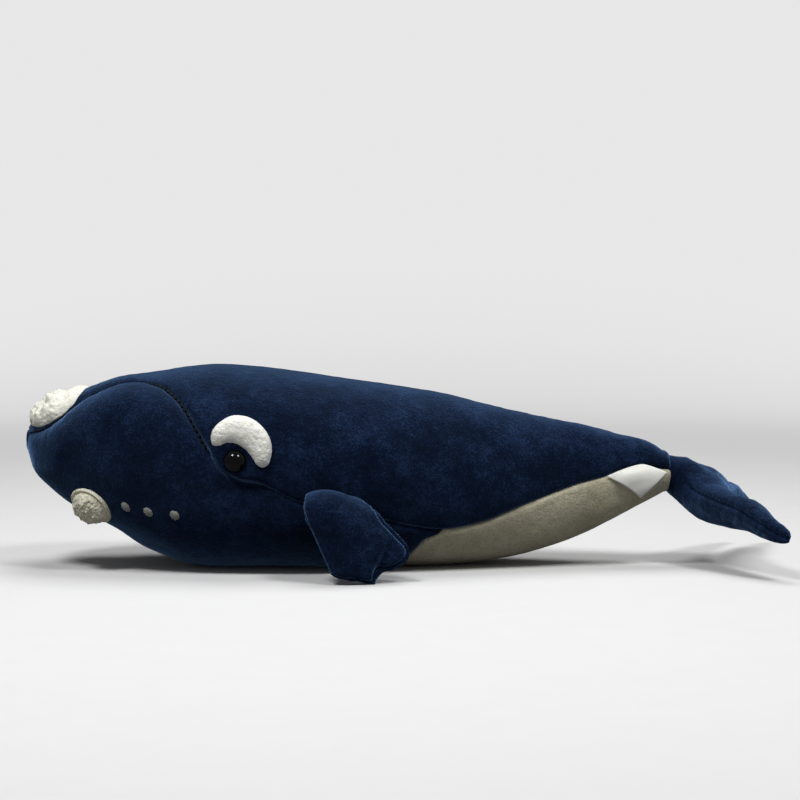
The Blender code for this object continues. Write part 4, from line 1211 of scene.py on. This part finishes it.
def mouth_piece(side_name, side):
    """Overlapping back stitches along the mouth line, fine in front and heavy behind."""
    stations = station_at(np.linspace(*(float(ease(end)) for end in MOUTH_SPAN), 600))
    line, line_normals = trunk.skin(stations, side * trunk.seam(stations))
    walked = travelled(line)
    mesh = bmesh.new()
    at = 0.0
    while at < walked[-1] - STITCH_STOP:
        heavy = float(ramp(at / walked[-1], start=0.52, run=0.08))
        length, radius, lift = (FINE_STITCH[key] + HEAVY_EXTRA[key] * heavy for key in FINE_STITCH)
        places = np.linspace(at, min(at + length, walked[-1]), 9)
        points = np.stack([np.interp(places, walked, line[:, k]) for k in range(3)], axis=-1)
        ups = np.stack([np.interp(places, walked, line_normals[:, k]) for k in range(3)], axis=-1)
        add_tube(mesh, stitch_rows(points + ups * lift, ups, radius))
        at += length - STITCH_OVERLAP
    piece = make_object(f"mouth_stitches_{side_name}", mesh, DARK_THREAD)
    stand_for(piece, [f"mouth_thread_{side_name}"], "trunk")


for side_name, side in SIDES:
    eye_piece(side_name, side)
    mouth_piece(side_name, side)
    for number, spot in enumerate(SPOTS, start=1):
        spot_piece(side_name, side, number, spot)
    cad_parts[f"eye_washer_{side_name}"].material_slots[0].material = CLEAR


# Stuffed limbs

SEAM_HOLD_SHARE = 0.8
LIMB_GROOVE = 0.0022
LIMB_GROOVE_WIDTH = 0.0015
LIMB_PUCKER = 0.0004
LIMB_PUCKER_SIZE = 0.0042
LIMB_PUCKER_SEED = 31.0
LIMB_PUCKER_REACH = 0.004
LIMB_WAVES = ((0.0004, 0.026, 1, 35.0),)
LIMB_PILE = ((0.00010, 0.0045, 2, 39.0),)


def sewn_limb(name, outline, spine, swells, powers, place, voxel):
    """Two faces sewn along the outline, remeshed into even small faces."""
    mesh = bmesh.new()
    places, climbs = pillow_grid(outline, spine, levels=12, last=0.12)
    for sign in (1.0, -1.0):
        rows = [
            place(level[:, 0], level[:, 1], sign * swells * climb**powers)
            for level, climb in zip(places, climbs)
        ]
        crown = mesh.faces.new(add_grid(mesh, rows)[-1])
        bmesh.ops.triangulate(mesh, faces=[crown])
    weld(mesh)
    limb = make_object(name, mesh, NAVY)
    remesh = limb.modifiers.new("remesh", "REMESH")
    remesh.mode = "VOXEL"
    remesh.voxel_size = voxel
    bake(limb, remesh)
    return limb


def stuffed_limb(limb, nodes, seam_curve, held_at, voxel, cap, growth, creased=None):
    """Blow a sewn limb up as cloth, then sink its seam into it."""
    tree = KDTree(len(seam_curve))
    for index, point in enumerate(seam_curve):
        tree.insert(point, index)
    tree.balance()

    def seam_gap(points):
        return np.array([tree.find(point)[2] for point in points])

    start = positions_of(limb.data)
    held = np.maximum(held_at(start), (seam_gap(start) < voxel * SEAM_HOLD_SHARE).astype(float))
    set_positions(limb.data, inflate(limb, held, pressure=5.0, growth=growth, cap=cap))
    finer = limb.modifiers.new("round", "SUBSURF")
    finer.levels = 1
    finer.render_levels = 1
    bake(limb, finer)
    limb.data.shade_smooth()
    points = positions_of(limb.data)
    normals = normals_of(limb.data)
    gap = seam_gap(points)
    loose = 1 - held_at(points)
    pucker = np.clip(bumps(points, LIMB_PUCKER_SIZE, 1, LIMB_PUCKER_SEED), -1, 1)
    height = waves(points, LIMB_WAVES) - LIMB_GROOVE * hill(gap, LIMB_GROOVE_WIDTH)
    height += LIMB_PUCKER * pucker * np.exp(-gap / LIMB_PUCKER_REACH)
    height = height * loose + waves(points, LIMB_PILE)
    if creased:
        height += creased(points, normals)
    points += normals * height[:, None]
    points[:, 2] = np.maximum(points[:, 2], LOWEST_SKIN)
    set_positions(limb.data, points)
    if not limb.data.materials:
        limb.data.materials.append(NAVY)
    stand_for(limb, nodes)


FLIPPER_ROOT_LENGTH = 0.0265
FLIPPER_LENGTH = 0.0540
FLIPPER_FULLNESS = 0.0150
FLIPPER_SLACK = 0.002
FLIPPER_ROOT_ENDS = ((0.4405, 0.372), (0.5165, 0.335))
FLIPPER_STAND = 0.00065
FLIPPER_VOXEL = 0.0017
# Places in root lengths along the root and flipper lengths out from it
FLIPPER_OUTLINE = (
    (0.44, 0.0), (0.60, 0.11), (0.79, 0.24), (1.04, 0.37), (1.42, 0.50), (1.65, 0.61),
    (1.63, 0.71), (1.44, 0.815), (1.27, 0.860), (1.18, 0.875), (1.125, 0.910), (1.08, 1.015), (0.93, 1.060),
    (0.68, 1.055), (0.42, 1.080), (0.27, 1.075),
    (0.18, 0.97), (-0.04, 0.79), (-0.24, 0.64), (-0.43, 0.51), (-0.53, 0.37), (-0.47, 0.19),
    (-0.33, 0.0), (-0.20, 0.0), (0.0, 0.0), (0.25, 0.0),
)
FLIPPER_CREASE = ((1.16, 0.62), (1.12, 0.74), (1.08, 0.84), (1.08, 0.94))
FLIPPER_SPINE = ((0.06, 0.27), (0.36, 0.48), (0.64, 0.70))
FLIPPER_SPANS = ((0.0, 1.0), (0.5, 0.92), (1.0, 0.66))
# Share of the way along, and shares of the length outwards and down
FLIPPER_PATH = (
    (0.0, 0.0, 0.0), (0.08, 0.072, -0.034), (0.17, 0.150, -0.078), (0.26, 0.234, -0.090),
    (0.35, 0.309, -0.046), (0.50, 0.378, 0.086), (0.68, 0.415, 0.262), (0.85, 0.452, 0.428),
    (1.0, 0.502, 0.568),
)
FLIPPER_GROWTH = 0.0012
FLIPPER_GROWTH_SHARES = ((0.022, 1.0), (0.030, 0.3))
FLIPPER_GROWTH_START = 0.006
FLIPPER_SEAM_START = 0.004
FLIPPER_SEAM_SHIFT = 0.0019
FLIPPER_HOLD = 1.6
FLIPPER_HOLD_REACH = 0.004
FLIPPER_BLEND = (0.001, 0.016)
FACE_STEP = 0.05
CREASE_DEPTH = 0.0026
CREASE_FLAT = 0.0018
CREASE_EDGE = 0.0012
CREASE_SIDE = 2.5
EDGE_POWER = 0.60


def flipper_axes(side):
    """The middle of the sewn root, and the ways along it, outwards and down."""
    (first, first_facing), (last, last_facing) = (surface_point(*end, side) for end in FLIPPER_ROOT_ENDS)
    along = unit(last - first)
    out = (first_facing + last_facing) * np.array([1.0, 1.0, 0.0])
    out = unit(out - along * np.dot(out, along))
    down = np.cross(out, along)
    down *= -math.copysign(1.0, down[2])
    return (first + last) / 2 + out * FLIPPER_STAND, along, out, down


def flipper_piece(side_name, side):
    """A flipper that arches out from its sewn root and hangs down beside the belly."""
    middle, along, out, down = flipper_axes(side)
    walked, outs, downs = zip(*FLIPPER_PATH)
    out_at = smooth_through(walked, outs)
    down_at = smooth_through(walked, downs)
    flat_size = np.array([FLIPPER_ROOT_LENGTH, FLIPPER_LENGTH])

    def place(across, length, height):
        """Points on the bent flipper, at a height over its middle face."""
        share = np.clip(length / FLIPPER_LENGTH, 0, 1)
        near, far = np.clip(share - FACE_STEP, 0, 1), np.clip(share + FACE_STEP, 0, 1)
        ahead_out = out_at(far) - out_at(near)
        ahead_down = down_at(far) - down_at(near)
        size = np.hypot(ahead_out, ahead_down)
        face = out * (ahead_down / size)[..., None] - down * (ahead_out / size)[..., None]
        spot = (
            middle + along * across[..., None]
            + out * (out_at(share) * FLIPPER_LENGTH)[..., None]
            + down * (down_at(share) * FLIPPER_LENGTH)[..., None]
        )
        return spot + face * np.asarray(height)[..., None]

    rows = [(*(flat_size * row), 1.0 if row[1] == 0.0 else EDGE_POWER) for row in FLIPPER_OUTLINE]
    loop = round_loop(rows, count=150)
    loop[:, 1] = np.maximum(loop[:, 1], 0.0)
    outline = loop[:, :2]
    spine, parts = nearest_on_path(outline, FLIPPER_SPINE * flat_size)
    reach = np.linalg.norm(outline - spine, axis=1)
    growth = FLIPPER_GROWTH * table_value(FLIPPER_GROWTH_SHARES, outline[:, 0])
    grown = spine + (outline - spine) * (1 + growth / reach)[:, None]
    outline = np.where(outline[:, 1:] > FLIPPER_GROWTH_START, grown, outline)
    spans = table_value(FLIPPER_SPANS, parts)

    def seam_curve():
        """The seam runs on the rim in front and turns on to the outer face behind."""
        chosen = outline[:, 1] > FLIPPER_SEAM_START
        kept, core = outline[chosen], spine[chosen]
        reach = np.linalg.norm(kept - core, axis=1)
        rear = np.clip((kept[:, 0] - core[:, 0]) / reach + 0.35, 0, 1)
        share = 1 - FLIPPER_SEAM_SHIFT * rear / reach
        spots = core + (kept - core) * share[:, None]
        lift = FLIPPER_FULLNESS / 2 * spans[chosen] * (1 - share**2) ** EDGE_POWER
        return place(spots[:, 0], spots[:, 1], lift)

    def held_at(points):
        return np.clip(FLIPPER_HOLD - (points - middle) @ out / FLIPPER_HOLD_REACH, 0, 1)

    def seen_flat(points):
        return np.stack([(points - middle) @ along, (points - middle) @ down], axis=-1)

    def creased(points, normals):
        """How far the outer face sinks along the fold that runs up from the notch."""
        knots = FLIPPER_CREASE * flat_size
        fold = seen_flat(place(knots[:, 0], knots[:, 1], np.zeros(len(knots))))
        flat = seen_flat(points)
        spots, parts = nearest_on_path(flat, fold)
        gap = np.linalg.norm(flat - spots, axis=1)
        behind = 1 / (1 + np.exp(-(flat[:, 0] - spots[:, 0]) / CREASE_EDGE))
        depth = CREASE_DEPTH * hill(gap, width=0.0021) + CREASE_FLAT * behind * hill(gap, width=0.0085)
        return -np.clip(normals @ out * CREASE_SIDE, 0, 1) * (0.35 + 0.65 * parts) * depth

    swells = (FLIPPER_FULLNESS - FLIPPER_SLACK) / 2 * spans
    limb = sewn_limb(
        f"flipper_plush_{side_name}", outline, spine, swells, loop[:, 2], place, FLIPPER_VOXEL,
    )
    nodes = [f"flipper_{side_name}_{part}" for part in ("upper", "lower", "filling")]
    stuffed_limb(limb, nodes, seam_curve(), held_at, FLIPPER_VOXEL, cap=0.0028, growth=0.018, creased=creased)
    start, end = (tuple(middle + out * reach) for reach in FLIPPER_BLEND)
    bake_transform(limb)
    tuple(start)
    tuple(end)


PLUSH_THICKNESS = 0.0024
FLUKE_SPAN = 0.141
FLUKE_LENGTH = 0.0588
FLUKE_FULLNESS = 0.0250
FLUKE_SLACK = 0.0010
FLUKE_SETBACK = 0.0030
FLUKE_SLOPE = math.radians(25)
FLUKE_DROOP = 0.0024
FLUKE_VOXEL = 0.0024
FLUKE_SEAM_START = 0.004
FLUKE_HOLD = 1.4
FLUKE_HOLD_REACH = 0.008
ROOT_GAP = 0.0004
NOTCH_SHARE = 0.645
# Shares of the length back from the root, and of the half span outwards
FLUKE_OUTLINE = (
    (0.06, 0.150), (0.14, 0.185), (0.23, 0.265), (0.33, 0.380), (0.45, 0.520), (0.58, 0.670),
    (0.72, 0.812), (0.88, 0.938), (1.010, 1.0), (1.045, 0.985), (0.985, 0.86), (0.90, 0.70),
    (0.825, 0.52), (0.750, 0.35), (0.690, 0.18), (0.655, 0.06),
)
FLUKE_SPINE = ((0.0, 0.0), (0.16, 0.03), (0.32, 0.12), (0.48, 0.30), (0.66, 0.55), (0.84, 0.82))
FLUKE_SPANS = (0.92, 1.0, 0.90, 0.70, 0.48)
VALLEY_DEPTH = 0.0043
FACE_HEIGHT = 0.008
LOWER_FACE_SHARE = -0.35
# Places across the flukes and how far they rise there
FLUKE_RISES = (
    (-0.0705, -0.0010), (-0.064, -0.0006), (-0.056, 0.0001), (-0.045, 0.0008), (-0.030, -0.0009),
    (-0.014, -0.0021), (0.004, 0.0), (0.018, -0.0008), (0.032, -0.0007), (0.050, 0.0028), (0.0705, 0.0014),
)
# Places across the flukes and how much the upper face is pressed down there
FLUKE_SLIMS = (
    (-0.067, 0.0), (-0.058, 0.55), (-0.048, 0.10), (-0.041, 0.10), (-0.032, 0.8), (-0.018, 1.0),
    (-0.004, 0.0),
)
SLIM_SHARE = 0.34


def fluke_piece():
    """Both lobes as one sewn limb that slopes down from the tail, with a valley between them."""
    end_points, _ = trunk.bare(1.0, np.linspace(0, 1, 81) * trunk.length(1.0))
    half_height = (end_points[-1, 2] - end_points[0, 2]) / 2
    wall = PLUSH_THICKNESS + ROOT_GAP
    bead = math.hypot(half_height - wall, FLUKE_SETBACK)
    half_width = (float(np.max(end_points[:, 1])) - wall) / ((half_height - wall) / bead)
    root_x = SNOUT_X + TRUNK_LENGTH + FLUKE_SETBACK
    origin = np.array([root_x, 0.0, (end_points[0, 2] + end_points[-1, 2]) / 2])
    back = np.array([math.cos(FLUKE_SLOPE), 0.0, -math.sin(FLUKE_SLOPE)])
    up = np.array([math.sin(FLUKE_SLOPE), 0.0, math.cos(FLUKE_SLOPE)])
    half_span = FLUKE_SPAN / 2

    def place(length, across, height):
        """Points at a height over the drooping middle face."""
        droop = FLUKE_DROOP * np.sin(math.pi / 2 * np.abs(across) / half_span)
        spot = origin + back * length[..., None] + up * (np.asarray(height) - droop)[..., None]
        return spot + np.array([0.0, 1.0, 0.0]) * across[..., None]

    turns = np.linspace(math.pi, math.pi / 2, 5)
    front = [(bead * math.cos(turn), half_width * math.sin(turn)) for turn in turns]
    right = front + [(FLUKE_LENGTH * a, half_span * b) for a, b in FLUKE_OUTLINE]
    left = [(a, -b) for a, b in reversed(right[1:])]
    corners = right + [(FLUKE_LENGTH * NOTCH_SHARE, 0.0)] + left
    loop = round_loop([(a, b, 0.5 if a <= 0 else EDGE_POWER) for a, b in corners], count=300)
    outline = loop[:, :2]
    mirrored = np.stack([outline[:, 0], np.abs(outline[:, 1])], axis=-1)
    spine, parts = nearest_on_path(mirrored, FLUKE_SPINE * np.array([FLUKE_LENGTH, half_span]))
    spine[:, 1] = np.copysign(spine[:, 1], outline[:, 1])
    spans = np.interp(parts, np.linspace(0, 1, 6), (2 * bead / FLUKE_FULLNESS, *FLUKE_SPANS))
    seamed = outline[outline[:, 0] > FLUKE_SEAM_START]
    seam_curve = place(seamed[:, 0], seamed[:, 1], np.zeros(len(seamed)))

    def held_at(points):
        return np.clip(FLUKE_HOLD - (points[:, 0] - origin[0]) / FLUKE_HOLD_REACH, 0, 1)

    swells = (FLUKE_FULLNESS + FLUKE_SLACK) / 2 * spans
    limb = sewn_limb("fluke_plush", outline, spine, swells, loop[:, 2], place, FLUKE_VOXEL)
    nodes = [f"flukes_{part}" for part in ("upper", "lower", "filling")]
    stuffed_limb(limb, nodes, seam_curve, held_at, FLUKE_VOXEL, cap=0.0030, growth=0.006)
    points = positions_of(limb.data)
    behind = (points - origin) @ back
    above = (points - origin) @ up
    valley = VALLEY_DEPTH * hill(points[:, 1], width=0.0068, centre=0.002)
    valley *= ramp(behind, start=0.006, run=0.012)
    rise = smooth_through(*zip(*FLUKE_RISES))(points[:, 1])
    rise -= np.maximum(above, 0) * table_value(FLUKE_SLIMS, points[:, 1]) * SLIM_SHARE
    rise *= ramp(behind, start=0.002, run=0.016)
    sink = valley * np.clip(above / FACE_HEIGHT, LOWER_FACE_SHARE, 1) - rise
    set_positions(limb.data, points - up * sink[:, None])
    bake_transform(limb)


for side_name, side in SIDES:
    flipper_piece(side_name, side)
fluke_piece()


# Care label: one tape folded in half, both raw ends caught in the side seam

# Station, and share of the drop below the seam
LABEL_CORNERS = ((0.907, 0.0), (0.964, -0.06), (1.0000, 0.13), (0.959, 1.0))
LABEL_DROP = 0.0160
LABEL_CURL = 0.0008
LABEL_PUFF = 0.0005
LABEL_GAP = 0.0004
LABEL_STAND = 0.0042
LABEL_WELD = 0.000005
TAPE_THICKNESS = 0.0002
LAST_STATION = 0.998


def label_point(station, drop, lift):
    walk = -(trunk.seam(station) - drop * LABEL_DROP)
    point, normal = trunk.skin(min(station, LAST_STATION), walk)
    point[0] += max(station - LAST_STATION, 0.0) * TRUNK_LENGTH
    return point + normal * lift


def label_piece():
    """Both layers of the tape as one sheet: down to the fold and back up under itself."""
    first, last, far_last, far_first = (np.array(corner) for corner in LABEL_CORNERS)
    down = [(share, LABEL_PUFF) for share in np.linspace(0, 1, 21)]
    back_up = [(share, -LABEL_PUFF * 0.4) for share in np.linspace(1, 0, 21)]
    rows = []
    for along in np.linspace(0, 1, 25):
        sewn = first + (last - first) * along
        fold = far_first + (far_last - far_first) * along
        row = []
        for share, puff in down + back_up:
            curl = LABEL_CURL * math.sin(math.pi * along) * share
            swell = puff * math.sin(math.pi * min(share * 1.02, 1.0)) ** 0.5
            lift = LABEL_GAP + LABEL_STAND * share**1.3 + curl + swell
            row.append(label_point(*(sewn + (fold - sewn) * share), lift))
        rows.append(row)
    mesh = open_grid(rows)
    weld(mesh, LABEL_WELD)
    piece = make_object("satin_label", mesh, SATIN)
    thick = piece.modifiers.new("tape", "SOLIDIFY")
    thick.thickness = TAPE_THICKNESS
    thick.offset = 0.0
    stand_for(piece, ["care_label"], "label")


label_piece()


# Floor, light and camera

STAGE_GREY = 0.80
STAGE_SHADE = 0.788
BOUNCE_GREY = 0.18
FLOOR_WIDTH = 6.0
FLOOR_FRONT = -2.0
SWEEP_START = 1.0
SWEEP_RADIUS = 0.8
BACKDROP_TOP = 2.6
GLOW_START = 0.35
GLOW_END = 1.5


def seen_directly(tree):
    """1 for the camera's rays, also through clear pieces, and 0 for light that bounces."""
    path = tree.nodes.new("ShaderNodeLightPath").outputs
    return math_node(tree, "MAXIMUM", path["Is Camera Ray"], path["Is Transmission Ray"])


def show(tree, output, factor, first, second):
    """Send a mix of two shaders to the output."""
    mixed = add_node(tree, "MixShader", {0: factor, 1: first, 2: second})
    give(tree, tree.nodes[output], "Surface", mixed)


def stage_material(name, shade, colour):
    """Paper that shows its own pale colour, unshaded away from the object, and bounces little light."""
    look = Look(name, colour, roughness=0.85)
    tree = look.tree
    shown = look.ramp(look.noise(size=0.02), (0.3, shade), (0.7, colour))
    direct = seen_directly(tree)
    dull = {"Fac": direct, "Color1": (*grey(BOUNCE_GREY), 1.0), "Color2": shown}
    look.give({"Base Color": add_node(tree, "MixRGB", dull), "Specular IOR Level": 0.2})
    glow = add_node(tree, "Emission", {"Color": (*colour, 1.0)})
    length = add_node(tree, "VectorMath", {0: look.coords}, "Value", operation="LENGTH")
    reach = {"Value": length, "From Min": GLOW_START, "From Max": GLOW_END}
    far = add_node(tree, "MapRange", reach, interpolation_type="SMOOTHSTEP")
    show(tree, "Material Output", math_node(tree, "MULTIPLY", direct, far), look.shader.outputs[0], glow)
    return look.material


def sweep_floor():
    """A floor that curves up into the backdrop."""
    curve = [
        (SWEEP_START + SWEEP_RADIUS * math.sin(turn), SWEEP_RADIUS * (1 - math.cos(turn)))
        for turn in np.linspace(0, math.pi / 2, 17)
    ]
    profile = [(FLOOR_FRONT, 0.0), *curve, (SWEEP_START + SWEEP_RADIUS, BACKDROP_TOP)]
    rows = [[(x, y, z) for y, z in profile] for x in (-FLOOR_WIDTH / 2, FLOOR_WIDTH / 2)]
    paper = stage_material("floor_paper", grey(STAGE_SHADE), grey(STAGE_GREY))
    make_object("floor", open_grid(rows), paper)


def area_light(name, place, target, size, power):
    data = bpy.data.lights.new(name, "AREA")
    data.shape = "SQUARE"
    data.size = size
    data.energy = power
    lamp = bpy.data.objects.new(name, data)
    bpy.context.scene.collection.objects.link(lamp)
    lamp.location = place
    lamp.rotation_euler = (Vector(target) - Vector(place)).to_track_quat("-Z", "Y").to_euler()


def world_light(strength, background):
    world = bpy.data.worlds.new("studio")
    bpy.context.scene.world = world
    world.use_nodes = True
    tree = world.node_tree
    light = tree.nodes["Background"]
    give(tree, light, "Color", (*grey(1.0), 1.0))
    give(tree, light, "Strength", strength)
    shown = add_node(tree, "Background", {"Color": (*background, 1.0)})
    show(tree, "World Output", seen_directly(tree), light.outputs[0], shown)


# The photo's camera, fitted to the toy's outline
SENSOR_WIDTH = 36.0
FOCAL_PIXELS = 2065
PICTURE_PIXELS = 800
CAMERA_PLACE = (0.00235, -1.1, 0.161)
CAMERA_TILT_DEGREES = 3.812


def make_camera():
    data = bpy.data.cameras.new("camera")
    data.sensor_width = SENSOR_WIDTH
    data.lens = FOCAL_PIXELS / PICTURE_PIXELS * SENSOR_WIDTH
    camera = bpy.data.objects.new("camera", data)
    bpy.context.scene.collection.objects.link(camera)
    camera.location = CAMERA_PLACE
    camera.rotation_euler = (math.radians(90 - CAMERA_TILT_DEGREES), 0.0, 0.0)
    bpy.context.scene.camera = camera


sweep_floor()
area_light("key", (-0.42, -0.44, 1.02), target=(0, 0, 0.05), size=0.24, power=5.8)
area_light("second", (0.46, -0.44, 1.02), target=(0, 0, 0.05), size=0.24, power=4.4)
area_light("rear", (0.05, 0.34, 1.10), target=(0, 0, 0.06), size=0.6, power=5.8)
world_light(0.17, grey(STAGE_GREY))
make_camera()
bpy.context.scene.view_settings.view_transform = "Standard"
